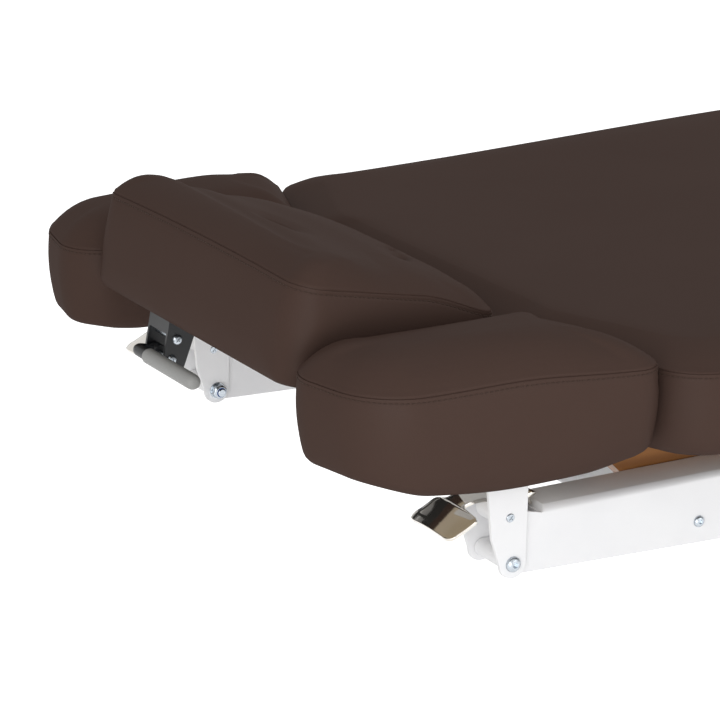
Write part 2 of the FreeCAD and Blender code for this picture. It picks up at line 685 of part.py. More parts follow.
def release_handle():
    inside = ("handle_low_y + handle_wall", "handle_high_y - handle_wall")
    across = ("handle_low_y", "handle_high_y")
    cheek = [("handle_front", "head_low"), ("handle_front", "handle_low"), ("handle_rear - 10", "handle_low"),
             ("handle_rear", "head_low")]
    holes = [("screw_x", "screw_z", "lever_pin_radius"), ("lever_x", "lever_z", "lever_pin_radius")]
    pieces = [profile(f"handle_cheek_{name}", cheek, y, holes, "head")
              for name, y in (("near", (across[0], inside[0])), ("far", (inside[1], across[1])))]
    pieces.append(box("handle_lip_plate", ("handle_front", "handle_front + handle_wall"), across,
                      ("head_low - handle_lip", "head_low"), "head"))
    pieces.append(box("handle_top", ("handle_front", "handle_rear"), across,
                      ("head_low - handle_wall", "head_low"), "head"))
    keep(fuse("handle_bracket", *pieces), "handle_bracket")
    keep(rod("lever_pin", "lever_pin_radius", "lever_x", across, "lever_z", "head"), "lever_pin")
    head_y = ("handle_low_y - screw_head_high", "handle_low_y")
    heads = [rod(f"bracket_screw_{name}", "screw_head_radius", x, head_y, z, "head")
             for name, x, z in (("upper", "screw_x", "screw_z"), ("lower", "lever_x", "lever_z"))]
    shank = rod("bracket_screw_shank", "lever_pin_radius", "screw_x", across, "screw_z", "head")
    keep(group("bracket_screws", [fuse("bracket_screw_long", heads[0], shank), heads[1]]), "bracket_screws")
    lever_x, lever_z = val("lever_x"), val("lever_z")
    grip_x, grip_z = val("grip_x"), val("grip_z")
    bend_y, bend, radius = val("lever_bend_y"), val("lever_bend"), val("lever_radius")
    start = Vector(lever_x, bend_y, lever_z)
    corner = Vector(grip_x, bend_y, grip_z)
    end = Vector(grip_x, val("grip_near") + 6, grip_z)
    into = (corner - start).normalize()
    along = Vector(0, -1, 0)
    first, last = corner - into * bend, corner + along * bend
    middle = corner + (along - into).normalize() * bend * (math.sqrt(2) - 1)
    path = Part.Wire([Part.LineSegment(start, first).toShape(), Part.Arc(first, middle, last).toShape(),
                      Part.LineSegment(last, end).toShape()])
    ring = Part.Wire([Part.makeCircle(radius, start, into)])
    bent = path.makePipeShell([ring], True, True)
    boss_half = 6.5
    boss = Part.makeCylinder(8, 2 * boss_half, start - Vector(0, boss_half, 0), Vector(0, 1, 0))
    pin_hole = Part.makeCylinder(val("lever_pin_radius") + val("running_gap"), 2 * boss_half,
                                 start - Vector(0, boss_half, 0), Vector(0, 1, 0))
    solid_piece("release_lever", bent.fuse(boss).cut(pin_hole).removeSplitter(), "head")
    near, far = val("grip_near"), val("grip_far")
    grip = Part.makeCylinder(val("grip_radius"), far - near, Vector(grip_x, near, grip_z), Vector(0, 1, 0))
    rims = [edge for edge in grip.Edges if isinstance(edge.Curve, Part.Circle)]
    grip = grip.makeFillet(6.5, [edge for edge in rims if edge.Vertexes[0].Y < near + 1])
    hollow = Part.makeCylinder(radius, far - near, Vector(grip_x, near + 6, grip_z), Vector(0, 1, 0))
    solid_piece("lever_grip", grip.cut(hollow), "head")


# Arm rests
def arm_corners(sign):
    inner = val("arm_inner")
    right = [(-178, -inner, 40), (-144, -335, 72), (0, -345, 400), (126, -373, 40), (68, -inner, 30)]
    if sign < 0:
        return right
    return [(x, -y, radius) for x, y, radius in right[::-1]]


def arm(side, sign):
    low, board_top = val("cushion_low"), val("cushion_low") + val("board_thick")
    levels = cushion_levels(low, val("arm_seam"), val("arm_crown"), 34, 14)
    shape = loft(arm_corners(sign), levels, ("side",) * 5)
    board_x = (val("arm_board_head"), val("arm_board_foot"))
    board_y = sorted((sign * val("arm_board_inner"), sign * val("arm_board_outer")))
    solid_piece(f"arm_pad_{side}", shape.cut(block(board_x, board_y, (low - 1, board_top))))
    keep(box(f"arm_board_{side}", ("arm_board_head", "arm_board_foot"),
             span(sign, "arm_board_inner", "arm_board_outer"),
             ("cushion_low", "cushion_low + board_thick")), f"arm_board_{side}")
    plate_low = "cushion_low - plate_thick"
    pieces = [box(f"arm_plate_{side}", ("ear_front - 20", "ear_rear + 20"),
                  span(sign, "ear_inner - 10", "ear_outer + 10"), (plate_low, "cushion_low"))]
    for name, low_y in (("inner", "ear_inner"), ("outer", "ear_outer - ear_thick")):
        ear = profile(f"arm_ear_{name}_{side}", [
            ("ear_front - 1", plate_low), ("ear_front", "63"), ("-21", "25"), ("-ear_round", "0"),
            ("-ear_round", "-ear_round"), ("ear_round", "-ear_round"), ("ear_round", "3"),
            ("ear_rear", plate_low)],
            span(sign, low_y, f"{low_y} + ear_thick"),
            [("0", "0", "pivot_bolt"), ("latch_x", "latch_z", "latch_radius")])
        edge = val("ear_round")
        pieces.append(soften(ear, "ear_round - 0.5", [(-edge, -edge), (edge, -edge)]))
    keep(fuse(f"arm_bracket_{side}", *pieces), f"arm_bracket_{side}")
    nut_face = "ear_inner - washer_thick"
    shank = rod(f"pivot_shank_{side}", "pivot_bolt", "0",
                span(sign, f"{nut_face} - nut_high - 2", "ear_outer"), "0")
    head = rod(f"pivot_head_{side}", "pivot_head_radius", "0",
               span(sign, "ear_outer", "ear_outer + pivot_head_high"), "0")
    socket = doc.addObject("Part::Prism", f"pivot_socket_{side}")
    socket.Polygon = 6
    bind(socket, "Circumradius", "pivot_socket")
    bind(socket, "Height", "3")
    socket.Placement.Rotation = Rotation(Vector(1, 0, 0), -90)
    head_face = "ear_outer + pivot_head_high"
    place(socket, "0", span(sign, f"{head_face} - 2.6", f"{head_face} + 0.4")[0], "0")
    keep(cut(f"arm_bolt_{side}", fuse(f"pivot_blank_{side}", shank, head), socket), f"arm_bolt_{side}")
    nut = doc.addObject("Part::Prism", f"nut_blank_{side}")
    nut.Polygon = 6
    bind(nut, "Circumradius", "nut_flats / cos(30)")
    bind(nut, "Height", "nut_high")
    nut.Placement.Rotation = Rotation(Vector(1, 0, 0), -90)
    place(nut, "0", span(sign, f"{nut_face} - nut_high", nut_face)[0], "0")
    washer = rod(f"washer_blank_{side}", "washer_radius", "0", span(sign, nut_face, "ear_inner"), "0")
    bore = rod(f"nut_bore_{side}", "pivot_bolt", "0",
               span(sign, f"{nut_face} - nut_high - 1", "ear_inner + 1"), "0")
    keep(cut(f"arm_nut_{side}", fuse(f"nut_and_washer_{side}", nut, washer), bore), f"arm_nut_{side}")
    keep(rod(f"latch_pin_{side}", "latch_radius", "latch_x",
             span(sign, "ear_inner - 1", "ear_outer + 1"), "latch_z"), f"latch_pin_{side}")


def paddle(side, sign):
    sheet_low = "- paddle_sheet"
    wide_top = [("-70", "38.5"), ("-55", "45.5"), ("-41", "52")]
    narrow_top = [("-42", "51.5"), ("-29", "56"), ("-18", "56.5"), ("latch_x", "53.5"), ("25", "51")]
    claw = [("18", "51"), ("18", "46.5"), ("22", "45.5"), ("29", "41.5"), ("32", "42.5"), ("31", "47"),
            ("36", "51"), ("30", "53")]
    pieces = []
    for name, top, across in (
            ("wide", wide_top, ("paddle_inner", "paddle_outer")),
            ("narrow", narrow_top, ("neck_inner", "neck_outer"))):
        under = [(x, f"{z} {sheet_low}") for x, z in top]
        pieces.append(profile(f"paddle_{name}_{side}", under + top[::-1], span(sign, *across)))
    pieces.append(profile(f"paddle_claw_{side}", claw, span(sign, "claw_inner", "claw_outer")))
    across = span(sign, "beam_inner + 10", "beam_outer - 10")
    pieces.append(rod(f"paddle_boss_{side}", "paddle_boss", "latch_x", across, "latch_z"))
    bore = rod(f"paddle_bore_{side}", "latch_radius + running_gap", "latch_x", across, "latch_z")
    keep(cut(f"paddle_{side}", fuse(f"paddle_blank_{side}", *pieces), bore), f"paddle_{side}")


base()
lift_frame()
back_frame()
actuator()
body_cushions()
headrest()
release_handle()
for side, sign in SIDES:
    arm(side, sign)
    paddle(side, sign)
doc.recompute()

failed = [item.Label for item in doc.Objects if {"Invalid", "Error"} & set(item.State)]
failed += [item.Label for item in nodes if item.Shape.isNull() or not item.Shape.isValid()]
if failed:
    raise SystemExit(f"failed: {failed}")
os.makedirs("parts", exist_ok=True)
for item in nodes:
    item.Shape.exportStep(f"parts/{item.Label}.step")
    print(item.Label, len(item.Shape.Solids), round(item.Shape.Volume / 1000, 1))
print(len(nodes), "nodes")
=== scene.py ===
import json
import math

import bmesh
import bpy
import numpy as np
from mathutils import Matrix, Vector
from mathutils.kdtree import KDTree


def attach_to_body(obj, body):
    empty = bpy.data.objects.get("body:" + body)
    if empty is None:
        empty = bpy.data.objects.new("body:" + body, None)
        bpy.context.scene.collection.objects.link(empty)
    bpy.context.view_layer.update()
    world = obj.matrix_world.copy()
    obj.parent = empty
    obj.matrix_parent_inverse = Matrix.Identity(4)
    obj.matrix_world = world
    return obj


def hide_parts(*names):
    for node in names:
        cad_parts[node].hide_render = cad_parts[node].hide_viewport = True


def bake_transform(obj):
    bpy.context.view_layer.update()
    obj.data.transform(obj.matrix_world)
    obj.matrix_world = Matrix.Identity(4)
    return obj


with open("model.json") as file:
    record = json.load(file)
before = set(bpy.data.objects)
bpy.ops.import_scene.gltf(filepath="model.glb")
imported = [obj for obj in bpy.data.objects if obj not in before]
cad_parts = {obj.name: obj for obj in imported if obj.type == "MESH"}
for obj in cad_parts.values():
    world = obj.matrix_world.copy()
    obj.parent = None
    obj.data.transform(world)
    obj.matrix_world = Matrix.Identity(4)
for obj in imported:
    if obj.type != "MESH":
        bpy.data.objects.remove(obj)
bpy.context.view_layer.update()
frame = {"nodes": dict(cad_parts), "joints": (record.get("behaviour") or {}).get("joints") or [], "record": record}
scene = bpy.context.scene
scene.view_settings.view_transform = "Standard"
mm = 0.001
record = frame["record"]
bodyOf = {node: body for body, nodes in record["behaviour"]["bodies"].items() for node in nodes}
slotOf = {part["node"]: part["material_slot"] for part in record["subparts"]}
print("frame:", len(frame["nodes"]), "nodes")


def jointPlace(name):
    return Vector(next(joint["pos_m"] for joint in frame["joints"] if joint["name"] == name))


# Places are in millimetres from the arm pivot axis; the headrest has its own pitched frame on its hinge
pivot = jointPlace("arm_drop_right")
pivot.y = 0.0
headHinge = jointPlace("headrest_tilt")
headPitch = math.radians(11.0)
sides = {"right": -1, "left": 1}  # and the sign of y there


def toRow(points):
    return np.asarray(points, float) * mm + np.array(pivot)


def fromHead(points):
    flat = np.array(points, float)
    x, z = flat[..., 0].copy(), flat[..., 2].copy()
    flat[..., 0] = x * math.cos(headPitch) + z * math.sin(headPitch)
    flat[..., 2] = z * math.cos(headPitch) - x * math.sin(headPitch)
    return flat * mm + np.array(headHinge)


# Materials
def linear(hexColour):
    parts = [int(hexColour[i:i + 2], 16) / 255 for i in (1, 3, 5)]
    return tuple(c / 12.92 if c <= 0.04045 else ((c + 0.055) / 1.055) ** 2.4 for c in parts) + (1.0,)


def addNode(tree, kind, settings=(), links=()):
    node = tree.nodes.new(kind)
    for key, value in dict(settings).items():
        if isinstance(key, int) or key in node.inputs:
            node.inputs[key].default_value = value
        else:
            setattr(node, key, value)
    for key, source in dict(links).items():
        tree.links.new(source, node.inputs[key])
    return node


def startMaterial(name, settings):
    material = bpy.data.materials.new(name)
    material.use_nodes = True
    tree = material.node_tree
    tree.nodes.clear()
    shader = addNode(tree, "ShaderNodeBsdfPrincipled", settings)
    addNode(tree, "ShaderNodeOutputMaterial", links={"Surface": shader.outputs[0]})
    place = addNode(tree, "ShaderNodeTexCoord").outputs["Object"]
    return material, tree, shader, place


def perMm(size):
    return 1000.0 / size  # texture scale for a feature of this many millimetres


def layPatterns(tree, shader, colour, rough=None, relief=None):
    # a pattern with its two colours, one with its least and most roughness, one with its depth and strength
    pattern, first, second = colour
    mix = addNode(tree, "ShaderNodeMix", {"data_type": "RGBA", 6: linear(first), 7: linear(second)},
                  {0: pattern})
    tree.links.new(mix.outputs[2], shader.inputs["Base Color"])
    if rough:
        pattern, low, high = rough
        span = addNode(tree, "ShaderNodeMapRange", {"To Min": low, "To Max": high}, {"Value": pattern})
        tree.links.new(span.outputs[0], shader.inputs["Roughness"])
    if relief:
        pattern, depthMm, strength = relief
        bump = addNode(tree, "ShaderNodeBump", {"Strength": strength, "Distance": depthMm * mm},
                       {"Height": pattern})
        tree.links.new(bump.outputs[0], shader.inputs["Normal"])


def vinylMaterial():
    # PVC-coated upholstery, embossed: broad soft highlights over a fine pebble grain
    look = dict(light="#4a3a34", dark="#45352f", rough=(0.46, 0.56), drift=170.0, grain=1.3, grainDeep=0.06)
    material, tree, shader, place = startMaterial("vinylDarkBrown", {
        "Specular IOR Level": 0.0, "Coat Weight": 0.09, "Coat Roughness": 0.42})
    drift = addNode(tree, "ShaderNodeTexNoise", {"Scale": perMm(look["drift"]), "Detail": 3.0},
                    {"Vector": place}).outputs["Fac"]
    pebble = addNode(tree, "ShaderNodeTexVoronoi", {"Scale": perMm(look["grain"])}, {"Vector": place})
    layPatterns(tree, shader, (drift, look["light"], look["dark"]), (drift, *look["rough"]),
                (pebble.outputs["Distance"], look["grainDeep"], 0.5))
    return material


def threadMaterial():
    # bonded polyester sewing thread, a shade darker than the vinyl with a slight lustre
    look = dict(light="#473831", dark="#3d2f29", twist=1.2)
    material, tree, shader, place = startMaterial("threadDarkBrown", {
        "Roughness": 0.6, "Specular IOR Level": 0.1})
    twist = addNode(tree, "ShaderNodeTexWave", {"Scale": perMm(look["twist"]), "Distortion": 1.0},
                    {"Vector": place})
    layPatterns(tree, shader, (twist.outputs["Fac"], look["dark"], look["light"]))
    return material


def powderMaterial(name, light, dark, roughness):
    # powder coat baked on steel: even colour, orange-peel skin
    look = dict(cloud=60.0, peel=1.6, peelDeep=0.05)
    material, tree, shader, place = startMaterial(name, {})
    cloud = addNode(tree, "ShaderNodeTexNoise", {"Scale": perMm(look["cloud"]), "Detail": 4.0},
                    {"Vector": place}).outputs["Fac"]
    peel = addNode(tree, "ShaderNodeTexNoise", {"Scale": perMm(look["peel"]), "Detail": 2.0},
                   {"Vector": place}).outputs["Fac"]
    layPatterns(tree, shader, (cloud, light, dark), (cloud, roughness - 0.04, roughness + 0.05),
                (peel, look["peelDeep"], 0.35))
    return material


def metalMaterial(name, light, dark, low, high, lineMm):
    # bare or plated metal with drawn lines along the lounger, coarser than life so that they show
    look = dict(stretch=(0.06, 1.0, 1.0), lineDeep=0.01)
    material, tree, shader, place = startMaterial(name, {"Metallic": 1.0})
    stretch = addNode(tree, "ShaderNodeMapping", {"Scale": look["stretch"]}, {"Vector": place})
    lines = addNode(tree, "ShaderNodeTexNoise", {"Scale": perMm(lineMm), "Detail": 5.0},
                    {"Vector": stretch.outputs[0]}).outputs["Fac"]
    layPatterns(tree, shader, (lines, light, dark), (lines, low, high), (lines, look["lineDeep"], 0.25))
    return material


def woodMaterial(name, light, dark, ringMm, roughness):
    # sawn timber, grain along the lounger: wavering bands, and pores coarser than life so that they show
    look = dict(stretch=(0.05, 1.0, 1.0), warp=55.0, pore=0.9, poreDeep=0.06)
    waveTurn = 6.3  # makes each light or dark band of the wave as wide as asked for
    material, tree, shader, place = startMaterial(name, {})
    stretch = addNode(tree, "ShaderNodeMapping", {"Scale": look["stretch"]}, {"Vector": place}).outputs[0]
    warp = addNode(tree, "ShaderNodeTexNoise", {"Scale": perMm(look["warp"]), "Detail": 3.0},
                   {"Vector": stretch})
    bands = addNode(tree, "ShaderNodeTexWave", {
        "bands_direction": "Z", "Scale": perMm(ringMm) / waveTurn, "Distortion": 5.0, "Detail": 3.0},
        {"Vector": stretch})
    pores = addNode(tree, "ShaderNodeTexNoise", {"Scale": perMm(look["pore"]), "Detail": 4.0},
                    {"Vector": stretch}).outputs["Fac"]
    blend = addNode(tree, "ShaderNodeMix", {0: 0.45}, {2: bands.outputs["Fac"], 3: warp.outputs["Fac"]})
    layPatterns(tree, shader, (blend.outputs[0], light, dark), (pores, roughness - 0.08, roughness + 0.1),
                (pores, look["poreDeep"], 0.4))
    return material


def mouldedMaterial(name, light, dark, roughness, textureMm, depthMm):
    # moulded plastic or rubber, or pressed fibre: a dull skin with an even mottle, coarse enough to show
    material, tree, shader, place = startMaterial(name, {})
    mottle = addNode(tree, "ShaderNodeTexNoise", {"Scale": perMm(textureMm), "Detail": 4.0},
                     {"Vector": place}).outputs["Fac"]
    layPatterns(tree, shader, (mottle, light, dark), (mottle, roughness - 0.05, roughness + 0.06),
                (mottle, depthMm, 0.5))
    return material


finishes = {
    "upholstery": vinylMaterial(),
    "thread": threadMaterial(),
    "plywood": woodMaterial("birchPlywood", "#e2d4bf", "#cdb998", ringMm=9.0, roughness=0.6),
    "rail_wood": woodMaterial("oiledBeech", "#a66f38", "#80522a", ringMm=7.0, roughness=0.42),
    "white_steel": powderMaterial("powderCoatWhite", "#f2f2f3", "#e9e9eb", roughness=0.36),
    "black_steel": powderMaterial("powderCoatBlack", "#1c1d1f", "#141517", roughness=0.42),
    # metals: least and most roughness, width of the drawn lines
    "polished_steel": metalMaterial("polishedStainless", "#d8d4cd", "#c9c5be", 0.05, 0.11, 0.5),
    "zinc_steel": metalMaterial("zincPlatedSteel", "#c3cad0", "#a3aab2", 0.2, 0.34, 0.7),
    "aluminium": metalMaterial("anodisedAluminium", "#c9cacc", "#b4b6b9", 0.28, 0.38, 0.5),
    "brass": metalMaterial("turnedBrass", "#c9a45c", "#b08a45", 0.24, 0.36, 0.5),
    # moulded: roughness, width and depth of the mottle
    "grip": mouldedMaterial("greyVinylGrip", "#a1a19f", "#959593", 0.55, 1.6, 0.05),
    "black_plastic": mouldedMaterial("blackAbs", "#17181a", "#101112", 0.45, 0.9, 0.04),
    "rubber": mouldedMaterial("blackRubber", "#1a1a1a", "#121212", 0.75, 1.2, 0.05),
    "cover_cloth": mouldedMaterial("blackNonwovenCloth", "#1b1a1a", "#121111", 0.9, 2.2, 0.12),
    "nylon": mouldedMaterial("blueNylonInsert", "#1d4b93", "#16407f", 0.4, 0.8, 0.02),
}
print("materials:", len(finishes))


# Mesh helpers
sharpFrom = dict(turned=40.0, cut=35.0, cover=60.0)  # degrees between faces from which an edge stays sharp
gaps = dict(weld=1e-6, sliver=1e-7, cad=2e-6)  # metres; points closer than this become one


def addPiece(name, points, faces, material):
    mesh = bpy.data.meshes.new(name)
    mesh.from_pydata([tuple(p) for p in points], [], faces)
    return finishPiece(name, mesh, material, sharpFrom["turned"])


def finishPiece(name, mesh, material, smoothAngle):
    mesh.polygons.foreach_set("use_smooth", [True] * len(mesh.polygons))
    mesh.set_sharp_from_angle(angle=math.radians(smoothAngle))
    mesh.materials.clear()
    mesh.materials.append(material)
    piece = bpy.data.objects.new(name, mesh)
    scene.collection.objects.link(piece)
    return piece


def attach(piece, body, slot, *nodes):
    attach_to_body(piece, body)
    if nodes:
        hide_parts(*nodes)
    return piece


def realise(piece):
    graph = bpy.context.evaluated_depsgraph_get()
    mesh = bpy.data.meshes.new_from_object(piece.evaluated_get(graph))
    piece.modifiers.clear()
    piece.data = mesh
    return piece


def weld(mesh, outward=False):
    shell = bmesh.new()
    shell.from_mesh(mesh)
    bmesh.ops.remove_doubles(shell, verts=shell.verts, dist=gaps["weld"])
    bmesh.ops.dissolve_degenerate(shell, edges=shell.edges, dist=gaps["sliver"])
    if outward:
        bmesh.ops.recalc_face_normals(shell, faces=shell.faces)
    shell.to_mesh(mesh)
    shell.free()


def ringFaces(rows, count):
    # quads between neighbouring rings of points
    faces = []
    for row in range(rows - 1):
        low, high = row * count, (row + 1) * count
        for i in range(count):
            j = (i + 1) % count
            faces.append((low + i, low + j, high + j, high + i))
    return faces


def cappedFaces(rows, count):
    last = (rows - 1) * count
    return ringFaces(rows, count) + [tuple(reversed(range(count))), tuple(range(last, last + count))]


def shapedRadius(radius, shape, angle):
    # round, hexagonal (radius is half the width across flats) or a cross recess
    if shape == "hex":
        return radius / math.cos((angle + math.pi / 6) % (math.pi / 3) - math.pi / 6)
    if shape == "cross":
        return radius * (0.28 + 0.72 * abs(math.cos(2 * angle)) ** 6)  # arms at full radius, core at 0.28
    return radius


def turned(name, profile, base, axis, material, segments=48):
    # (radius, height, shape) rows from the base along the axis, millimetres
    base, axis = Vector(base), Vector(axis).normalized()
    side = axis.orthogonal().normalized()
    other = axis.cross(side)
    points = []
    for radius, height, shape in profile:
        for i in range(segments):
            angle = math.tau * i / segments
            reach = shapedRadius(radius, shape, angle) * mm
            spoke = side * math.cos(angle) + other * math.sin(angle)
            points.append(base + axis * height * mm + spoke * reach)
    piece = addPiece(name, points, cappedFaces(len(profile), segments), material)
    weld(piece.data)
    return piece


def chamferedRod(radius, long, chamfer=0.6):
    # profile of a round piece with both end edges broken
    return [(radius - chamfer, 0, ""), (radius, chamfer, ""), (radius, long - chamfer, ""),
            (radius - chamfer, long, "")]


def swept(name, path, radius, material, segments=20):
    # round bar along row points, radius in millimetres
    path = [Vector(p) for p in path]
    points = []
    side = None
    for i, here in enumerate(path):
        way = (path[min(i + 1, len(path) - 1)] - path[max(i - 1, 0)]).normalized()
        side = way.orthogonal() if side is None else side - way * side.dot(way)
        side.normalize()
        other = way.cross(side)
        for k in range(segments):
            angle = math.tau * k / segments
            points.append(here + (side * math.cos(angle) + other * math.sin(angle)) * radius * mm)
    piece = addPiece(name, points, cappedFaces(len(path), segments), material)
    weld(piece.data)
    return piece


def joinPieces(name, pieces):
    shell = bmesh.new()
    materials = []
    for piece in pieces:
        start = len(shell.faces)
        shell.from_mesh(piece.data)
        shell.faces.ensure_lookup_table()
        if piece.data.materials[0] not in materials:
            materials.append(piece.data.materials[0])
        for face in shell.faces[start:]:
            face.material_index = materials.index(piece.data.materials[0])
    mesh = bpy.data.meshes.new(name)
    shell.to_mesh(mesh)
    shell.free()
    for piece in pieces:
        bpy.data.objects.remove(piece)
    for material in materials:
        mesh.materials.append(material)
    mesh.set_sharp_from_angle(angle=math.radians(sharpFrom["turned"]))
    joined = bpy.data.objects.new(name, mesh)
    scene.collection.objects.link(joined)
    return joined


def bevelEdges(piece, edgeMm):
    bevel = piece.modifiers.new("easedEdges", "BEVEL")
    bevel.width = edgeMm * mm
    bevel.segments = 2
    bevel.limit_method = "ANGLE"
    bevel.angle_limit = math.radians(sharpFrom["cut"])
    bevel.harden_normals = True
    return realise(piece)


def mergedShell(mesh):
    # loose triangles merged, and flat faces made whole
    shell = bmesh.new()
    shell.from_mesh(mesh)
    bmesh.ops.remove_doubles(shell, verts=shell.verts, dist=gaps["cad"])
    bmesh.ops.dissolve_limit(shell, angle_limit=math.radians(0.6), verts=shell.verts, edges=shell.edges)
    return shell


def easedCopy(node, edgeMm):
    # the CAD piece with its sharp edges broken, as cut and finished parts have them
    mesh = frame["nodes"][node].data.copy()
    shell = mergedShell(mesh)
    shell.to_mesh(mesh)
    shell.free()
    piece = finishPiece(node + "_finished", mesh, finishes[slotOf[node]], sharpFrom["cut"])
    return attach(bevelEdges(piece, edgeMm), bodyOf[node], slotOf[node], node)


# Cushions
def rise(value, start, end):
    # smooth step from 0 at the start to 1 at the end, millimetres, either way round
    share = np.clip((value - start) / (end - start), 0.0, 1.0)
    return share * share * (3 - 2 * share)


def roundedOutline(corners):
    # lines and arcs through (x, y, radius) corners, counter-clockwise, as points about 1 mm apart
    points = []
    for i, (x, y, radius) in enumerate(corners):
        corner = np.array([x, y], float)
        before = corner - np.array(corners[i - 1][:2], float)
        after = np.array(corners[(i + 1) % len(corners)][:2], float) - corner
        before /= np.linalg.norm(before)
        after /= np.linalg.norm(after)
        turn = math.atan2(before[0] * after[1] - before[1] * after[0], before @ after)
        start = corner - before * radius * math.tan(abs(turn) / 2)
        centre = start + np.array([-before[1], before[0]]) * math.copysign(radius, turn)
        arm = start - centre
        steps = max(3, int(abs(turn) * radius))
        for angle in np.linspace(0, turn, steps + 1):
            points.append(centre + np.array([arm[0] * math.cos(angle) - arm[1] * math.sin(angle),
                                             arm[0] * math.sin(angle) + arm[1] * math.cos(angle)]))
    dense = []
    for first, second in zip(points, points[1:] + points[:1]):
        count = max(1, int(np.linalg.norm(second - first)))
        dense += [first + (second - first) * k / count for k in range(count)]
    return np.array(dense)


def padRing(outline, spine, spacing):
    # outline points paired with the cushion's spine: square to it along both sides, fanned round its ends
    start, end = (np.array(p, float) for p in spine)
    length = np.linalg.norm(end - start)
    way = (end - start) / length
    left = np.array([-way[1], way[0]])
    beside = ((outline - start) @ way >= 0) & ((outline - start) @ way <= length)
    onRight = beside & ((outline - start) @ left < 0)
    first = next(i for i in range(len(outline)) if onRight[i] and not onRight[i - 1])
    outline = np.roll(outline, -first, axis=0)
    along, side = (outline - start) @ way, (outline - start) @ left
    stations = np.linspace(0, length, int(length / spacing) + 1)

    def across(mask):
        order = np.argsort(along[mask])
        run, points = along[mask][order], outline[mask][order]
        return np.stack([np.interp(stations, run, points[:, axis]) for axis in (0, 1)], 1)

    def fan(mask, begin, finish):
        points = np.vstack([begin, outline[mask], finish])
        run = np.concatenate([[0], np.cumsum(np.linalg.norm(np.diff(points, axis=0), axis=1))])
        picks = np.linspace(0, run[-1], int(run[-1] / spacing) + 1)[1:-1]
        return np.stack([np.interp(picks, run, points[:, axis]) for axis in (0, 1)], 1)

    inside = (along >= 0) & (along <= length)
    right, back = across(inside & (side < 0)), across(inside & (side > 0))[::-1]
    endFan = fan(along > length, right[-1], back[0])
    startFan = fan(along < 0, back[-1], right[0])
    middle = start + stations[:, None] * way
    ring = np.vstack([right, endFan, back, startFan])
    core = np.vstack([middle, np.repeat([end], len(endFan), 0),
                      middle[::-1], np.repeat([start], len(startFan), 0)])
    return ring, core


def outwardNormals(ring):
    run = np.roll(ring, -1, 0) - np.roll(ring, 1, 0)
    normal = np.stack([run[:, 1], -run[:, 0]], 1)
    return normal / np.linalg.norm(normal, axis=1)[:, None]


def rowsToMesh(name, rows):
    mesh = bpy.data.meshes.new(name)
    mesh.from_pydata(rows.reshape(-1, 3).tolist(), [], ringFaces(*rows.shape[:2]))
    return mesh


coverCloth = dict(
    quality=6, mass=0.01, tension_stiffness=25, compression_stiffness=25, shear_stiffness=8,
    bending_stiffness=2, use_pressure=True, uniform_pressure_force=20.0, vertex_group_mass="sewn")
swelling = dict(frames=20, evenings=6)


def swell(rows, free, capMm):
    # cloth under air pressure, sewn down wherever it is not free; the swelling is capped
    mesh = rowsToMesh("swelling", rows)
    weld(mesh)
    start = np.array([vert.co for vert in mesh.vertices])
    tree = KDTree(len(start))
    for i, place in enumerate(start):
        tree.insert(place, i)
    tree.balance()
    index = np.array([tree.find(place)[1] for place in rows.reshape(-1, 3)])
    cover = bpy.data.objects.new("swelling", mesh)
    scene.collection.objects.link(cover)
    sewn = cover.vertex_groups.new(name="sewn")
    sewn.add([int(i) for i in np.unique(index[~free.reshape(-1)])], 1.0, "REPLACE")
    cloth = cover.modifiers.new("cover", "CLOTH")
    for setting, value in coverCloth.items():
        setattr(cloth.settings, setting, value)
    cloth.settings.effector_weights.gravity = 0
    cloth.point_cache.frame_end = swelling["frames"]
    for number in range(1, swelling["frames"] + 1):
        scene.frame_set(number)
    graph = bpy.context.evaluated_depsgraph_get()
    moved = np.array([vert.co for vert in cover.evaluated_get(graph).data.vertices])
    bpy.data.objects.remove(cover)
    scene.frame_set(1)
    shift = (moved - start)[index].reshape(rows.shape)
    size = np.linalg.norm(shift, axis=2, keepdims=True)
    shift *= np.minimum(1.0, capMm * mm / np.maximum(size, 1e-9))
    for _ in range(swelling["evenings"]):  # even out the capped swelling
        smooth = (np.roll(shift, 1, 1) + np.roll(shift, -1, 1) + 2 * shift) / 4
        shift = np.where(free[..., None], smooth, shift)
    total = np.zeros(start.shape)  # points that share a place move together
    np.add.at(total, index, shift.reshape(-1, 3))
    shift = (total / np.bincount(index)[:, None])[index].reshape(rows.shape)
    print("swelling up to", round(float(np.linalg.norm(shift, axis=2).max()) * 1000, 1), "mm")
    return rows + shift


def splineRows(rows, places):
    # Catmull-Rom through the rows at fractional row numbers
    k = np.clip(np.floor(places).astype(int), 0, len(rows) - 2)
    t = (places - k)[:, None, None]
    p0, p1 = rows[np.maximum(k - 1, 0)], rows[k]
    p2, p3 = rows[k + 1], rows[np.minimum(k + 2, len(rows) - 1)]
    return 0.5 * (2 * p1 + (p2 - p0) * t + (2 * p0 - 5 * p1 + 4 * p2 - p3) * t ** 2
                  + (3 * p1 - p0 - 3 * p2 + p3) * t ** 3)


seamShape = dict(
    groove=1.2, grooveWide=0.75,  # the sewn seam, millimetres
    lip=0.25, lipAt=2.4, lipWide=1.1,  # the cover's roll beside it
    wallSide=(7.0, 5.4, 4.5, 3.6, 2.5, 1.4, 0.6, 0.0),  # loops below the seam
    topSide=(0.6, 1.4, 2.5, 4.0),  # loops above it
    stitchDrop=4.5, stitchDent=0.35, stitchWide=0.6, stitchProud=0.25,  # topstitch row below the seam
    lean=0.9,  # the seam is pulled in and down in about equal parts
    clear=0.3,  # share of a row that other rows keep from these loops
)


def mound(distance, wide):
    return math.exp(-(distance / wide) ** 2)


def seamDepth(distance):
    # how far the cover is pulled in at this distance from the seam
    dip = seamShape["groove"] * mound(distance, seamShape["grooveWide"])
    return dip - seamShape["lip"] * mound(distance - seamShape["lipAt"], seamShape["lipWide"])


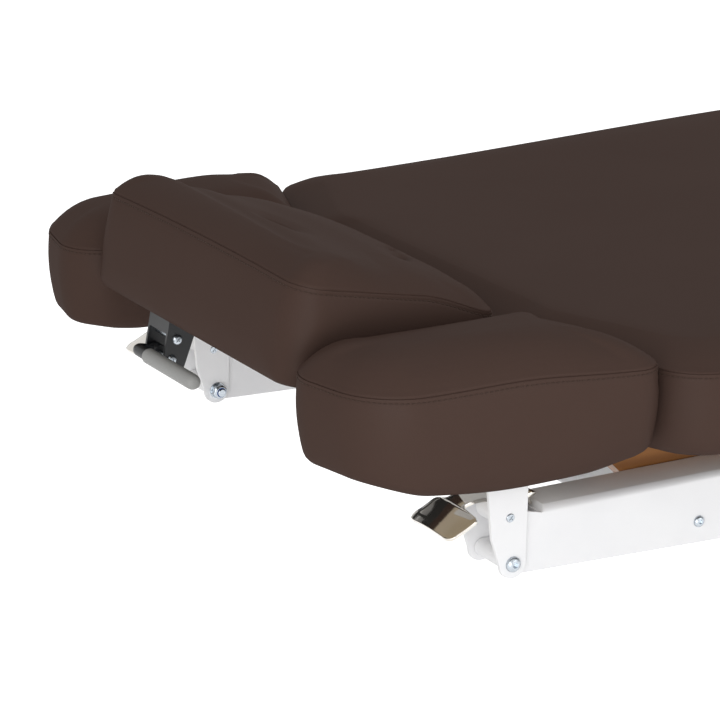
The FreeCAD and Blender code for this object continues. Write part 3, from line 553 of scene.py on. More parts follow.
padRows = dict(
    underside=(0.12, 0.6),  # shares of the way from the board to the hem
    hemTurns=(20, 40, 60, 80),  # degrees round the hem
    wall=(0.2, 1.0), bulgeFrom=0.1,  # shares of the wall's height
    squareLeast=0.35,  # least share of a top row's run that counts as square to the seam
    dipsFrom=1.6,  # dips reach their depth before the crown does
)


def sewnPad(spec, toFrame):
    # rows from the board pocket out round the underside, up the wall to the seam and over the crown
    ring, core = padRing(roundedOutline(spec["corners"]), spec["spine"], spec["spacing"])
    normals = outwardNormals(ring)
    low, edge, pocket = spec["low"], spec["edge"], spec["pocket"]
    seamZ = spec["seam"](ring[:, 0], ring[:, 1])
    noseIn = spec.get("nose", lambda x, y, share: np.zeros(len(x)))
    hem = spec["hem"](ring[:, 0], ring[:, 1]) if "hem" in spec else np.full(len(ring), low)
    rows = []

    def addRow(plan, height):
        rows.append(np.column_stack([plan, np.broadcast_to(height, len(plan))]))

    centre, half = pocket["centre"], pocket["half"](ring)
    board = ring - centre
    past = np.maximum(np.abs(board[:, 0]) / half[0], np.abs(board[:, 1]) / half[1])
    board = centre + board / past[:, None]
    roof = low + pocket["deep"]
    addRow(core, roof)
    addRow(board + (core - board) * 0.5, roof)
    addRow(board, roof)
    addRow(board, low + 1.0)
    tuckedIn = ring - normals * (edge + noseIn(ring[:, 0], ring[:, 1], 0.0))[:, None]
    nearShare, farShare = padRows["underside"]
    addRow(board + (tuckedIn - board) * nearShare, low)
    addRow(board + (tuckedIn - board) * farShare, low + (hem - low) * 0.5)
    addRow(tuckedIn, hem)
    underside = len(rows)
    for angle in np.radians(padRows["hemTurns"]):
        share = edge * (1 - math.cos(angle)) / (seamZ.mean() - low)
        inset = edge * (1 - math.sin(angle)) + noseIn(ring[:, 0], ring[:, 1], share)
        addRow(ring - normals * inset[:, None], hem + edge * (1 - math.cos(angle)))
    bulgeFrom = padRows["bulgeFrom"]
    for share in np.linspace(*padRows["wall"], spec["wallRows"]):
        bulge = spec["bulge"] * math.sin(math.pi * (share - bulgeFrom) / (1 - bulgeFrom))
        inset = noseIn(ring[:, 0], ring[:, 1], share) - (bulge if share < 1.0 else 0.0)
        addRow(ring - normals * inset[:, None], hem + (seamZ - hem) * share)
    seam = len(rows) - 1
    rim = rows[-1][:, :2]
    inwards = core - rim
    run = np.linalg.norm(inwards, axis=1)
    square = np.maximum(padRows["squareLeast"], -(inwards * normals).sum(1) / np.maximum(run, 1e-6))
    depth = run * square
    evenShares = np.linspace(0, 1, spec["topRows"])[1:]
    topShares = np.concatenate([spec["firstTop"] / np.median(depth), evenShares])
    for share in np.unique(np.round(topShares, 4)):
        plan = rim + inwards * share
        x, y = plan.T
        climb = 1 - (1 - np.minimum(1.0, depth * share / spec["reach"])) ** spec["fullness"]
        sunk = spec["dips"](x, y) * np.minimum(1.0, padRows["dipsFrom"] * climb)
        addRow(plan, spec["seam"](x, y) + spec["crownAt"](x, y) * climb - sunk)
    rows = np.array(rows)
    free = np.ones(rows.shape[:2], bool)
    free[:underside + 1] = False
    free[seam] = False
    free[seam + 1:] &= spec["dips"](rows[seam + 1:, :, 0], rows[seam + 1:, :, 1]) < spec["sewnDip"]
    return swell(toFrame(rows), free, spec["cap"]), seam, normals


def rowTree(name, shapeNode, shapeSettings):
    # one small shape repeated along a closed line
    tree = bpy.data.node_groups.new(name, "GeometryNodeTree")
    sockets = dict(Line="Geometry", Pitch="Float", Size="Vector", Finish="Material")
    for socket, kind in sockets.items():
        tree.interface.new_socket(socket, in_out="INPUT", socket_type="NodeSocket" + kind)
    tree.interface.new_socket("Row", in_out="OUTPUT", socket_type="NodeSocketGeometry")
    given = addNode(tree, "NodeGroupInput").outputs
    curve = addNode(tree, "GeometryNodeMeshToCurve", links={0: given["Line"]})
    spots = addNode(tree, "GeometryNodeResampleCurve", {"mode": "LENGTH"},
                    {"Curve": curve.outputs[0], "Length": given["Pitch"]})
    shape = addNode(tree, shapeNode, shapeSettings)
    soft = addNode(tree, "GeometryNodeSetShadeSmooth", links={0: shape.outputs[0]})
    run = addNode(tree, "GeometryNodeInputTangent")
    turn = addNode(tree, "FunctionNodeAlignRotationToVector", {"axis": "X"}, {"Vector": run.outputs[0]})
    laid = addNode(tree, "GeometryNodeInstanceOnPoints", links={
        "Points": spots.outputs[0], "Instance": soft.outputs[0], "Rotation": turn.outputs[0],
        "Scale": given["Size"]})
    real = addNode(tree, "GeometryNodeRealizeInstances", links={0: laid.outputs[0]})
    done = addNode(tree, "GeometryNodeSetMaterial", links={
        "Geometry": real.outputs[0], "Material": given["Finish"]})
    addNode(tree, "NodeGroupOutput", links={0: done.outputs[0]})
    return tree


rowTrees = {
    "stitches": rowTree("topstitchRow", "GeometryNodeMeshUVSphere",
                        {"Segments": 8, "Rings": 6, "Radius": 0.5}),
    "staples": rowTree("stapleRow", "GeometryNodeMeshCube", {"Size": (1.0, 1.0, 1.0)}),
}


def layRow(name, kind, line, pitch, size, finish):
    tree = rowTrees[kind]
    mesh = bpy.data.meshes.new(name)
    count = len(line)
    mesh.from_pydata([tuple(p) for p in line], [(i, (i + 1) % count) for i in range(count)], [])
    piece = bpy.data.objects.new(name, mesh)
    scene.collection.objects.link(piece)
    row = piece.modifiers.new(kind, "NODES")
    row.node_group = tree
    values = {"Pitch": pitch * mm, "Size": [v * mm for v in size], "Finish": finishes[finish]}
    for item in tree.interface.items_tree:
        if item.item_type == "SOCKET" and item.in_out == "INPUT" and item.name in values:
            row[item.identifier] = values[item.name]
    return realise(piece)


stitchSize = dict(pitch=4.6, size=(3.4, 1.1, 1.1))


def stitchAlong(name, line):
    return layRow(name, "stitches", line, stitchSize["pitch"], stitchSize["size"], "thread")


def sewSeam(rows, seam, out, upright):
    # finer loops beside the seam, drawn in along it, and the line of the topstitch
    lean = out + seamShape["lean"] * upright
    lean /= np.linalg.norm(lean, axis=1)[:, None]
    wall, top = rows[:seam + 1], rows[seam:]
    wallRun = np.linalg.norm(np.diff(wall, axis=0), axis=2).mean(1)[::-1].cumsum() / mm
    topRun = np.linalg.norm(np.diff(top, axis=0), axis=2).mean(1).cumsum() / mm
    wallRun, topRun = np.concatenate([[0], wallRun]), np.concatenate([[0], topRun])
    wallPlaces = [float(np.interp(d, wallRun, np.arange(seam, -1, -1))) for d in seamShape["wallSide"]]
    topPlaces = [float(np.interp(d, topRun, np.arange(len(topRun)))) for d in seamShape["topSide"]]
    keepWall = [k for k in range(seam) if k < wallPlaces[0] - seamShape["clear"]]
    keepTop = [k for k in range(1, len(top)) if k > topPlaces[-1] + seamShape["clear"]]
    near = splineRows(wall, np.array(wallPlaces))
    for row, distance in zip(near, seamShape["wallSide"]):
        dent = seamShape["stitchDent"] * mound(distance - seamShape["stitchDrop"], seamShape["stitchWide"])
        row -= lean * (seamDepth(distance) + dent) * mm
    above = splineRows(top, np.array(topPlaces))
    for row, distance in zip(above, seamShape["topSide"]):
        row -= lean * seamDepth(distance) * mm
    stitchRow = near[seamShape["wallSide"].index(seamShape["stitchDrop"])]
    stitchLine = stitchRow + out * seamShape["stitchProud"] * mm
    return np.concatenate([wall[keepWall], near, above, top[keepTop]]), stitchLine


def makePad(name, spec, toFrame, mirror=False):
    rows, seam, normals = sewnPad(spec, toFrame)
    ahead, across, upright = (toFrame(np.eye(3)) - toFrame(np.zeros(3))) / mm
    rows, line = sewSeam(rows, seam, normals @ np.array([ahead, across]), upright)
    pads = []
    for flip in ((1, -1) if mirror else (1,)):
        turnedRows, turnedLine = rows.copy(), line.copy()
        turnedRows[..., 1] *= flip
        turnedLine[..., 1] *= flip
        mesh = rowsToMesh(name, turnedRows)
        weld(mesh, outward=True)
        pads.append((mesh, turnedLine))
    return pads


def flatDips(x, y):
    return np.zeros(np.shape(x))


edgeRows = np.array([1.5, 4.0, 7.0, 10.5, 14.5, 19.0, 24.0, 30.0])  # loops over the shoulder of a crown
padFoot = 88.0  # underside of the arm and body cushions, level with their boards
boardDeep = 12.6  # pocket for a board
armShape = dict(seam=173.0, seamLift=4.0, crown=27.0, cornerDrop=8.0, taper=4.5, hang=8.5, endRise=8.0)


def armTaper(x, y, share):
    return np.full(len(x), armShape["taper"] * (1 - share) ** 1.6)  # the wall is drawn in towards the board


def armCrown(x, y):
    # lower in the outer rear corner, where two seams meet
    return armShape["crown"] - armShape["cornerDrop"] * rise(x, 15, 85) * rise(-y, 285, 335)


def armBelly(x, y, middle, wide):
    return np.exp(-((x - middle) / wide) ** 2) * rise(-y, 235, 330)


def armSeam(x, y):
    return armShape["seam"] + armShape["seamLift"] * armBelly(x, y, -10, 62)


def armHem(x, y):
    # the lower edge hangs a little along the outer side and rises at both ends
    rear = armShape["endRise"] * rise(x, 40, 105) * rise(-y, 240, 320)
    front = armShape["endRise"] * rise(x, -92, -162)
    return padFoot - armShape["hang"] * armBelly(x, y, -30, 85) + rear + front


armPad = dict(
    corners=[(-175, -198, 40), (-149, -326, 66), (0, -344, 400), (126, -362, 23), (68, -198, 30)],
    spine=((-96, -262), (32, -280)), spacing=4.5, low=padFoot, edge=10.0, bulge=2.6, wallRows=9,
    seam=armSeam, hem=armHem, crownAt=armCrown, dips=flatDips, nose=armTaper,
    reach=50.0, fullness=2.2, firstTop=edgeRows, topRows=12, sewnDip=1.0, cap=2.0,
    pocket=dict(centre=np.array([-27.5, -271.5]), half=lambda ring: (83.0, 47.0), deep=boardDeep),
)
armMeshes = makePad("arm_cushion", armPad, toRow, mirror=True)
for side, (mesh, line) in zip(sides, armMeshes):
    cushion = finishPiece(f"arm_cushion_{side}", mesh, finishes["upholstery"], sharpFrom["cover"])
    attach(cushion, f"arm_{side}", "upholstery", f"arm_pad_{side}")
    attach(stitchAlong(f"arm_topstitch_{side}", line), f"arm_{side}", "upholstery")
print("arm cushions done")

headShape = dict(foot=29.0, half=192.0, seam=104.0, seamClimb=13.0, noseLift=3.0, dome=17.0, domeRear=3.0,
                 domeHalf=205.0, roll=21.0)


def headSeam(x, y):
    # climbs from the rear towards the front, highest in the middle of the front
    nose = headShape["noseLift"] * rise(x, -150, -230) * (1 - (y / headShape["half"]) ** 2)
    return headShape["seam"] + headShape["seamClimb"] * rise(x, -26, -111) + nose


def headCrown(x, y):
    # a full roll along the front, then a dome that is fuller on the near side
    across = y / headShape["domeHalf"]
    near = np.clip(1 - np.clip(-across, 0, 1) ** 4, 0, 1) ** 0.6
    far = np.clip(1 - np.clip(across, 0, 1) ** 2, 0, 1) ** 0.8
    dome = (headShape["dome"] + headShape["domeRear"] * rise(x, -85, -40)) * near * far
    return dome + (headShape["roll"] - dome) * rise(x, -125, -190)


valley = dict(x=-184.0, slant=0.1, wide=12.0, deep=3.5, end=-128.0, fade=13.0)
tufts = (dict(x=-161.0, y=-18.0, slant=-0.1, wide=4.0, long=22.0, deep=7.0),
         dict(x=-76.0, y=-92.0, slant=0.6, wide=6.5, long=14.0, deep=8.0),
         dict(x=-68.0, y=-61.0, slant=0.7, wide=4.0, long=10.0, deep=3.0))


def headDips(x, y):
    # a soft valley behind the front roll, two sewn tufts, and a wrinkle beside the second one
    fade = 1 / (1 + np.exp(-(y - valley["end"]) / valley["fade"]))
    middle = valley["x"] + valley["slant"] * y
    dips = valley["deep"] * np.exp(-((x - middle) / valley["wide"]) ** 2) * fade
    for tuft in tufts:
        along, across = y - tuft["y"], x - tuft["x"] - tuft["slant"] * (y - tuft["y"])
        dips = dips + tuft["deep"] * np.exp(-(across / tuft["wide"]) ** 2 - (along / tuft["long"]) ** 2)
    return dips


headPad = dict(
    corners=[(-232, -192, 28), (-26, -192, 28), (-26, 192, 28), (-232, 192, 28)],
    spine=((-129, -104), (-129, 104)), spacing=4.0, low=headShape["foot"], edge=9.0, bulge=2.0, wallRows=9,
    seam=headSeam, crownAt=headCrown, dips=headDips,
    reach=36.0, fullness=2.2, firstTop=edgeRows, topRows=40, sewnDip=4.0, cap=1.6,
    pocket=dict(centre=np.array([-130.0, 0.0]), half=lambda ring: (90.5, 176.5), deep=boardDeep),
)
(headMesh, headLine), = makePad("headrest_cushion", headPad, fromHead)
headCushion = finishPiece("headrest_cushion", headMesh, finishes["upholstery"], sharpFrom["cover"])
attach(headCushion, "headrest", "upholstery", "headrest_pad")
attach(stitchAlong("headrest_topstitch", headLine), "headrest", "upholstery")
print("headrest cushion done")

bodyShape = dict(seam=163.0, crown=15.0, crownRear=11.0, noseLow=46.0, noseHigh=12.0, noseAt=0.55,
                 pocketLong=818.4, pocketWide=346.0, pocketStep=10.0, fold=(725.0, 875.0), foldZ=130.0)


def bodyNose(x, y, share):
    # bull nose of the head end: half round under the seam, drawn back over it
    middle = bodyShape["noseAt"]
    low = bodyShape["noseLow"] * max(0.0, (middle - share) / middle) ** 2
    high = bodyShape["noseHigh"] * max(0.0, (share - middle) / (1 - middle)) ** 2
    return rise(np.abs(y), 215, 175) * (x < 100) * (low + high)


def bodyPocket(ring):
    # half sizes of the boards' pocket, a little wider under the seat
    wide = bodyShape["pocketWide"] + bodyShape["pocketStep"] * rise(ring[:, 0], 720, 890)
    return np.full(len(ring), bodyShape["pocketLong"]), wide


def bodySeam(x, y):
    return np.full(np.shape(x), bodyShape["seam"])


def bodyCrown(x, y):
    return bodyShape["crown"] + bodyShape["crownRear"] * rise(x, 180, 740)


bodyPad = dict(
    corners=[(66, -185, 80), (135, -370, 52), (725, -385, 2000), (1850.8, -385, 70),
             (1850.8, 385, 70), (725, 385, 2000), (135, 370, 52), (66, 185, 80)],
    spine=((330, 0), (1560, 0)), spacing=11.0, low=padFoot, edge=11.0, bulge=1.4, wallRows=8,
    seam=bodySeam, crownAt=bodyCrown, dips=flatDips, nose=bodyNose,
    reach=48.0, fullness=2.2, firstTop=edgeRows * 1.6, topRows=26, sewnDip=1.0, cap=2.0,
    pocket=dict(centre=np.array([1007.9, 0.0]), half=bodyPocket, deep=boardDeep),
)
(bodyMesh, bodyLine), = makePad("body_cushion", bodyPad, toRow)
bodyCushion = finishPiece("body_cushion", bodyMesh, finishes["upholstery"], sharpFrom["cover"])
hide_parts("back_pad", "fold_pad", "seat_pad")
bodyStitch = stitchAlong("body_topstitch", bodyLine)
for piece in (bodyCushion, bodyStitch):
    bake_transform(piece)
print("body cushion done")

# Undersides: black cloth stapled over the boards
coverShape = dict(thick=0.7, margin=7.0, stapleIn=5.0, pitch=38.0, staple=(10.0, 1.2, 0.9), proud=0.2)


def blockPiece(name, x, y, z, toFrame, material):
    points = toFrame([(i, j, k) for k in z for j in y for i in x])
    faces = [(0, 2, 3, 1), (4, 5, 7, 6), (0, 1, 5, 4), (2, 6, 7, 3), (0, 4, 6, 2), (1, 3, 7, 5)]
    return addPiece(name, points, faces, material)


def dustCover(name, body, x, y, low, toFrame):
    margin, thick = coverShape["margin"], coverShape["thick"]
    x, y = (x[0] + margin, x[1] - margin), (y[0] + margin, y[1] - margin)
    cover = blockPiece(f"{name}_dust_cover", x, y, (low - thick, low), toFrame, finishes["cover_cloth"])
    attach(cover, body, "upholstery")
    inset = coverShape["stapleIn"]
    corners = [(x[0] + inset, y[0] + inset), (x[1] - inset, y[0] + inset),
               (x[1] - inset, y[1] - inset), (x[0] + inset, y[1] - inset)]
    line = toFrame([(i, j, low - thick - coverShape["proud"]) for i, j in corners])
    staples = layRow(f"{name}_staples", "staples", line, coverShape["pitch"], coverShape["staple"],
                     "zinc_steel")
    attach(staples, body, "zinc_steel")


dustCover("headrest", "headrest", (-220, -40), (-176, 176), headShape["foot"], fromHead)
dustCover("back", "back", (190, 720), (-345, 345), padFoot, toRow)
dustCover("seat", "lift", (890, 1825.8), (-355, 355), padFoot, toRow)
print("undersides done")

# Frame, column and base: the CAD pieces with their edges broken by this many millimetres
easedEdges = {
    "floor_base": 3.0, "base_feet": 2.0, "column_outer": 2.5, "column_inner": 1.5, "lift_plate": 1.0,
    "seat_beam_right": 1.4, "seat_beam_left": 1.4, "seat_cross_tube": 1.4, "seat_lugs": 0.8,
    "actuator_bracket": 0.6, "cross_tube_front": 1.4, "cross_tube_rear": 1.4, "head_brackets": 0.6,
    "actuator_arm": 0.6, "head_hinge_arms": 0.6, "arm_bracket_right": 0.5, "arm_bracket_left": 0.5,
    "wood_rail_right": 1.2, "wood_rail_left": 1.2, "seat_rail_right": 1.5, "seat_rail_left": 1.5,
    "handle_bracket": 0.5, "mains_inlet": 1.5, "tilt_quadrant": 0.5, "lock_pawl": 0.6,
}
for node, edge in easedEdges.items():
    easedCopy(node, edge)

beamShape = dict(
    corner=7.0, cornerSteps=7, cornerLong=300.0, cornerAbove=43.0,  # the long upper outer edge
    mouthX=(14.0, 30.0), mouthZ=(38.0, 45.0), wall=3.0, deep=18.0, edge=1.0,
)


def openBeam(side):
    # the side beam is a tube: the notch in its top at the head end is open, and its inside is given black powder
    # coat as painted shade
    node = f"back_beam_{side}"
    mesh = frame["nodes"][node].data.copy()
    shell = mergedShell(mesh)
    outer = max(abs(vert.co.y) for vert in shell.verts)
    above = toRow([0, 0, beamShape["cornerAbove"]])[2]
    corner = [edge for edge in shell.edges if edge.calc_length() > beamShape["cornerLong"] * mm
              and all(vert.co.z > above and abs(vert.co.y) > outer - mm for vert in edge.verts)]
    bmesh.ops.bevel(shell, geom=corner, offset=beamShape["corner"] * mm, segments=beamShape["cornerSteps"],
                    profile=0.5, affect="EDGES")
    limits = zip(beamShape["mouthX"], beamShape["mouthZ"])
    (lowX, lowZ), (highX, highZ) = (toRow([x, 0, z])[::2] for x, z in limits)
    middles = [(face, face.calc_center_median()) for face in shell.faces if face.normal.z > 0.9]
    cut = [face for face, middle in middles if lowX < middle.x < highX and lowZ < middle.z < highZ]
    bmesh.ops.inset_region(shell, faces=cut, thickness=beamShape["wall"] * mm, use_even_offset=True)
    sunk = bmesh.ops.extrude_discrete_faces(shell, faces=cut)["faces"]
    for face in sunk:
        bmesh.ops.translate(shell, verts=face.verts, vec=-face.normal * beamShape["deep"] * mm)
    # the pocket's floor and walls take the black finish: painted shade in the recess
    for face in list(sunk) + [other for face in sunk for edge in face.edges for other in edge.link_faces]:
        face.material_index = 1
    shell.to_mesh(mesh)
    shell.free()
    piece = finishPiece(node + "_finished", mesh, finishes["white_steel"], sharpFrom["cut"])
    # second finish, black powder coat, for the painted shade inside the notch
    mesh.materials.append(finishes["black_steel"])
    bevelEdges(piece, beamShape["edge"])
    attach(piece, "back", "white_steel", node)


for side in sides:
    openBeam(side)
print("frame pieces done")

# Fasteners: button-head bolts, nylon-insert locknuts, latch pins
boltHead = [(7.0, 0.0, ""), (7.0, 0.7, ""), (6.75, 1.9, ""), (6.0, 3.0, ""), (4.7, 4.0, ""), (3.6, 4.4, ""),
            (2.5, 4.4, "hex"), (2.5, 1.8, "hex")]
smallHead = [(r * 0.75, h * 0.75, shape) for r, h, shape in boltHead]  # M6 beside the pivot's M8
boltShank = [(3.3, 0.0, ""), (4.0, 0.7, ""), (4.0, 65.5, "")]
lockNut = [(6.2, 0.0, ""), (6.5, 0.5, "hex"), (6.5, 5.7, "hex"), (6.1, 6.2, ""), (5.7, 6.5, ""),
           (5.7, 7.6, ""), (5.3, 8.0, ""), (4.9, 8.0, ""), (4.9, 7.2, "")]
nylonRing = [(4.9, 7.2, ""), (4.9, 7.9, ""), (4.5, 8.15, ""), (4.05, 7.9, ""), (4.05, 7.2, "")]
flatWasher = [(8.0, 0.0, ""), (8.0, 1.3, ""), (7.7, 1.6, "")]
latchPin = [(2.1, 1.2, "cross"), (2.6, 0.0, "cross"), (3.3, 0.0, ""), (3.75, 0.5, ""), (3.75, 55.5, ""),
            (3.3, 56.0, ""), (2.6, 56.0, "cross"), (2.1, 54.8, "cross")]
pivotSeats = dict(head=301.0, shank=235.5, washer=247.0, nut=245.4)  # outwards along the pivot axis
latchSeat = (-3.0, 246.0, 42.0)
zinc = finishes["zinc_steel"]
for side, sign in sides.items():
    outward, inward = (0, sign, 0), (0, -sign, 0)
    seats = {kind: toRow([0, sign * y, 0]) for kind, y in pivotSeats.items()}
    head = turned("bolt_head", boltHead, seats["head"], outward, zinc)
    shank = turned("bolt_shank", boltShank, seats["shank"], outward, zinc)
    attach(joinPieces(f"pivot_bolt_{side}", [head, shank]), f"arm_{side}", "zinc_steel", f"arm_bolt_{side}")
    washer = turned("washer", flatWasher, seats["washer"], inward, zinc)
    nut = turned("nut", lockNut, seats["nut"], inward, zinc)
    ring = turned("ring", nylonRing, seats["nut"], inward, finishes["nylon"])
    fullNut = joinPieces(f"lock_nut_{side}", [nut, washer, ring])
    attach(fullNut, f"arm_{side}", "zinc_steel", f"arm_nut_{side}")
    x, y, z = latchSeat
    pin = turned(f"latch_pin_{side}_turned", latchPin, toRow([x, sign * y, z]), outward, zinc)
    attach(pin, f"arm_{side}", "zinc_steel", f"latch_pin_{side}")
beamBolt = dict(x=(194.0, 660.0), z=2.0, face=296.0, inner=225.0, radius=3.0)
beamShank = [(beamBolt["radius"], height, "") for height in (0.0, beamBolt["face"] - beamBolt["inner"])]
beamBolts = []
for sign in sides.values():
    for x in beamBolt["x"]:
        face, inner = (toRow([x, sign * beamBolt[end], beamBolt["z"]]) for end in ("face", "inner"))
        beamBolts.append(turned("beam_bolt", smallHead, face, (0, sign, 0), zinc))
        beamBolts.append(turned("beam_shank", beamShank, inner, (0, sign, 0), zinc))
attach(joinPieces("beam_button_bolts", beamBolts), "back", "zinc_steel", "beam_bolts")
print("fasteners done")

# Arm release paddles: bent polished sheet with a wide thumb plate, a neck, a white hub and a forked claw
paddleShape = dict(
    line=[(-70, 38.5), (-55, 45.5), (-41, 52), (-29, 56), (-18, 56.5), (-3, 53.5), (25, 51)],
    sheet=3.0, wide=(244.0, 312.0), neck=(256.0, 282.0), edge=0.6,
    wideEnd=-41.0, widthStep=0.02,  # where the plate narrows to the neck, in one short step
    frontRound=8.0, rearRound=5.0, endRound=4.0,
    dish=1.8, dishRun=(-29.0, -59.0), rows=(13, 16, 46), columns=12, smoothing=30,
    pin=(-3.0, 42.0), boss=(262.0, 286.0), bossRadius=10.5,
    claw=[(16, 50.5), (16, 46.5), (22, 45.5), (28.5, 41.6), (31.5, 41.4), (32.3, 42.6), (29.6, 47),
          (36, 50.4), (35.4, 52.2), (30, 53)], clawAcross=(268.0, 280.0))


def cornerInset(distance, radius):
    gap = max(0.0, radius - distance)
    return radius - math.sqrt(max(0.0, radius * radius - gap * gap))


def paddleSheet(side, sign):
    spec = paddleShape
    knots = np.array(spec["line"], float)
    front, rear, bend = knots[0, 0], knots[-1, 0], spec["wideEnd"]
    shoulder, step = front + spec["frontRound"], spec["widthStep"]
    tipRows, plateRows, neckRows = spec["rows"]
    xs = np.concatenate([np.linspace(front, shoulder, tipRows)[:-1],
                         np.linspace(shoulder, bend - step, plateRows),
                         np.linspace(bend + step, rear, neckRows)])
    zs = np.interp(xs, knots[:, 0], knots[:, 1])
    for _ in range(spec["smoothing"]):
        zs[1:-1] = (zs[:-2] + 2 * zs[1:-1] + zs[2:]) / 4
    middle, half = sum(spec["wide"]) / 2, (spec["wide"][1] - spec["wide"][0]) / 2
    points = []
    for x, z in zip(xs, zs):
        low, high = spec["wide"] if x < bend else spec["neck"]
        if x < bend:
            inset = cornerInset(x - front, spec["frontRound"]) + cornerInset(bend - x, spec["rearRound"])
        else:
            inset = -cornerInset(x - bend, spec["rearRound"]) + cornerInset(rear - x, spec["endRound"])
        dish = spec["dish"] * rise(x, *spec["dishRun"])
        for y in np.linspace(low + inset, high - inset, spec["columns"]):
            points.append((x, sign * y, z - dish * ((y - middle) / half) ** 2))
    count = spec["columns"]
    faces = []
    for row in range(len(xs) - 1):
        for k in range(count - 1):
            quad = (row * count + k, (row + 1) * count + k, (row + 1) * count + k + 1, row * count + k + 1)
            faces.append(quad if sign > 0 else quad[::-1])
    piece = addPiece(f"paddle_sheet_{side}", toRow(points), faces, finishes["polished_steel"])
    weld(piece.data)
    sheet = piece.modifiers.new("sheet", "SOLIDIFY")
    sheet.thickness = spec["sheet"] * mm
    sheet.offset = -1.0
    return bevelEdges(piece, spec["edge"])


def paddleClaw(sign):
    spec = paddleShape
    across = sorted(sign * y for y in spec["clawAcross"])
    count = len(spec["claw"])
    points = toRow([(x, y, z) for y in across for x, z in spec["claw"]])
    faces = [tuple(range(count)), tuple(reversed(range(count, 2 * count)))]
    faces += [(i, i + count, (i + 1) % count + count, (i + 1) % count) for i in range(count)]
    return bevelEdges(addPiece("claw", points, faces, finishes["polished_steel"]), spec["edge"])


for side, sign in sides.items():
    x, z = paddleShape["pin"]
    low, high = paddleShape["boss"]
    boss = turned("boss", chamferedRod(paddleShape["bossRadius"], high - low), toRow([x, sign * low, z]),
                  (0, sign, 0), finishes["white_steel"])
    paddle = joinPieces(f"release_paddle_{side}", [paddleSheet(side, sign), paddleClaw(sign), boss])
    attach(paddle, f"paddle_{side}", "polished_steel", f"paddle_{side}")
print("paddles done")

# Headrest release handle: bent rod, vinyl grip, cross-head screws
handleShape = dict(
    pin=(-188.6, 117.0, -18.4), bossRadius=8.0, bossLong=13.0,  # in the headrest's frame
    rod=5.5, bend=12.0, bendSteps=12, grip=(-213.0, -15.4), gripFar=88.0, gripNear=-7.5, gripEnd=8.0,
    screws=((-186.3, 1.0), (-188.6, -18.4)), screwFace=88.0,  # the second head is the lever pin's
)


def releaseRod():
    spec = handleShape
    start = np.array(spec["pin"])
    corner = np.array([spec["grip"][0], spec["pin"][1], spec["grip"][1]])
    into = (corner - start) / np.linalg.norm(corner - start)
    along = np.array([0.0, -1.0, 0.0])
    bend = spec["bend"]
    centre = corner - into * bend + along * bend
    path = [start]
    for angle in np.linspace(0, math.pi / 2, spec["bendSteps"]):
        path.append(centre - along * bend * math.cos(angle) + into * bend * math.sin(angle))
    path.append(corner + along * (corner[1] - spec["gripNear"] - spec["gripEnd"]))
    rod = swept("rod", fromHead(path), spec["rod"], finishes["black_steel"])
    boss = turned("boss", chamferedRod(spec["bossRadius"], spec["bossLong"]),
                  fromHead(start + along * spec["bossLong"] / 2), (0, 1, 0), finishes["black_steel"])
    attach(joinPieces("release_rod", [rod, boss]), "handle", "black_steel", "release_lever")


releaseRod()
gripLong = handleShape["gripFar"] - handleShape["gripNear"]
gripRows = [(6.2, 0.0, ""), (6.9, 0.3, ""), (7.25, 1.2, ""), (7.25, gripLong - 7.0, ""),
            (7.05, gripLong - 5.0, ""), (6.3, gripLong - 2.6, ""), (4.8, gripLong - 0.9, ""),
            (2.4, gripLong - 0.1, "")]
gripBase = fromHead([handleShape["grip"][0], handleShape["gripFar"], handleShape["grip"][1]])
grip = turned("grip_sleeve", gripRows, gripBase, (0, -1, 0), finishes["grip"])
attach(grip, "handle", "grip", "lever_grip")
panHead = [(4.8, 0.0, ""), (4.8, 0.6, ""), (4.45, 1.6, ""), (3.5, 2.3, ""), (2.9, 2.5, ""),
           (2.7, 2.5, "cross"), (1.7, 1.0, "cross")]
screwShank = [(3.0, 0.0, ""), (3.0, 40.0, "")]
faces = [fromHead([x, handleShape["screwFace"], z]) for x, z in handleShape["screws"]]
screws = [turned("screw_head", panHead, face, (0, -1, 0), zinc) for face in faces]
screws.append(turned("screw_shank", screwShank, faces[0], (0, 1, 0), zinc))
attach(joinPieces("bracket_pan_screws", screws), "headrest", "zinc_steel", "bracket_screws")
print("release handle done")

# The CAD pieces that are shown as they are
for node, piece in frame["nodes"].items():
    if not piece.hide_render:
        piece.data.materials.clear()
        piece.data.materials.append(finishes[slotOf[node]])

# Studio: a pale floor that keeps the shadow, white to the camera and to mirrors
floorShape = dict(half=14.0, tone="#f4f4f4", lift=0.8)
worldLight = dict(onObject=0.52, seen=1.0)


def seenDirectly(tree):
    # 1 for what the camera sees, straight or by way of metal and glass; 0 for light on the object
    seen = addNode(tree, "ShaderNodeLightPath").outputs
    direct = addNode(tree, "ShaderNodeMath", {"operation": "MAXIMUM"},
                     {0: seen["Is Camera Ray"], 1: seen["Is Glossy Ray"]})
    shown = addNode(tree, "ShaderNodeMath", {"operation": "MAXIMUM"},
                    {0: direct.outputs[0], 1: seen["Is Transmission Ray"]})
    return shown.outputs[0]


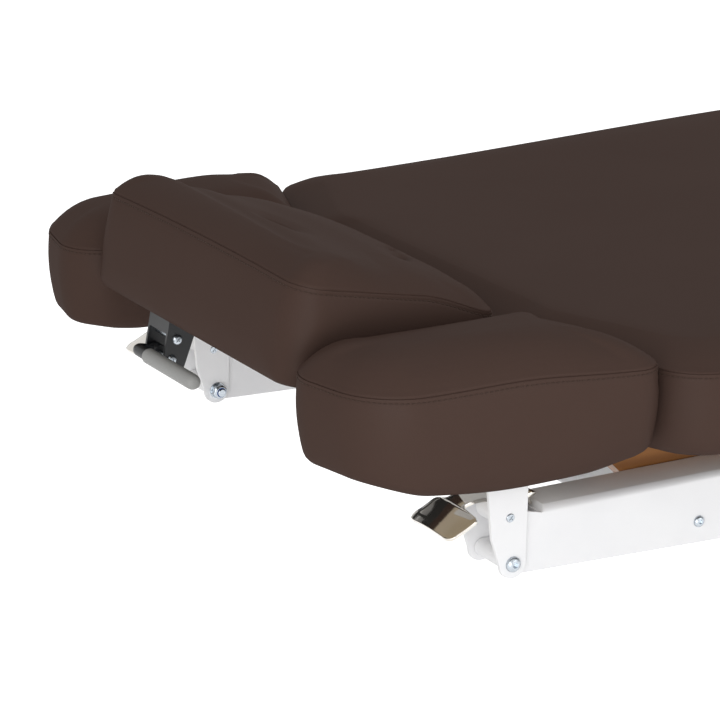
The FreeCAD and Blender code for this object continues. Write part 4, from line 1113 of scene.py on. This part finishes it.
def studioFloor():
    material = bpy.data.materials.new("paleFloor")
    material.use_nodes = True
    tree = material.node_tree
    tree.nodes.clear()
    glow = addNode(tree, "ShaderNodeMath", {"operation": "MULTIPLY", 1: floorShape["lift"]},
                   {0: seenDirectly(tree)})
    paint = addNode(tree, "ShaderNodeBsdfDiffuse", {"Color": linear(floorShape["tone"])})
    light = addNode(tree, "ShaderNodeEmission", {"Color": (1, 1, 1, 1)}, {"Strength": glow.outputs[0]})
    both = addNode(tree, "ShaderNodeAddShader", links={0: paint.outputs[0], 1: light.outputs[0]})
    addNode(tree, "ShaderNodeOutputMaterial", links={"Surface": both.outputs[0]})
    half = floorShape["half"]
    corners = [(-half, -half, 0), (half, -half, 0), (half, half, 0), (-half, half, 0)]
    return addPiece("studio_floor", corners, [(0, 1, 2, 3)], material)


studioFloor()


def studioWorld():
    world = bpy.data.worlds.new("studioWorld")
    scene.world = world
    world.use_nodes = True
    tree = world.node_tree
    tree.nodes.clear()
    strength = addNode(tree, "ShaderNodeMapRange", {
        "To Min": worldLight["onObject"], "To Max": worldLight["seen"]}, {"Value": seenDirectly(tree)})
    sky = addNode(tree, "ShaderNodeBackground", {"Color": (1, 1, 1, 1)}, {"Strength": strength.outputs[0]})
    addNode(tree, "ShaderNodeOutputWorld", links={"Surface": sky.outputs[0]})


studioWorld()


def softbox(name, place, aim, size, power):
    data = bpy.data.lights.new(name, "AREA")
    data.shape = "RECTANGLE"
    data.size, data.size_y = size
    data.energy = power
    lamp = bpy.data.objects.new(name, data)
    lamp.location = place
    lamp.rotation_euler = (Vector(aim) - Vector(place)).to_track_quat("-Z", "Y").to_euler()
    scene.collection.objects.link(lamp)


softboxes = dict(
    keySoftbox=dict(place=(-3.4, -2.6, 1.4), aim=(-0.6, 0.0, 0.55), size=(2.6, 1.8), power=32),
    sideSoftbox=dict(place=(1.0, -3.6, 1.7), aim=(0.0, 0.0, 0.5), size=(2.8, 1.8), power=30),
    lowSoftbox=dict(place=(-2.6, -2.8, 0.4), aim=(-0.7, 0.1, 0.45), size=(2.0, 0.7), power=22),
    topSoftbox=dict(place=(0.2, 0.6, 3.4), aim=(0.0, 0.0, 0.5), size=(3.4, 2.4), power=8),
)
for name, lamp in softboxes.items():
    softbox(name, **lamp)

photoView = dict(lens=165.0, sensor=36.0, place=(-2.23506, -2.50736, 1.42774), tilt=72.591, turn=-29.434)
view = bpy.data.cameras.new("photoCamera")
view.lens, view.sensor_width = photoView["lens"], photoView["sensor"]
camera = bpy.data.objects.new("photoCamera", view)
camera.location = photoView["place"]
camera.rotation_euler = (math.radians(photoView["tilt"]), 0.0, math.radians(photoView["turn"]))
scene.collection.objects.link(camera)
scene.camera = camera
print("studio done")
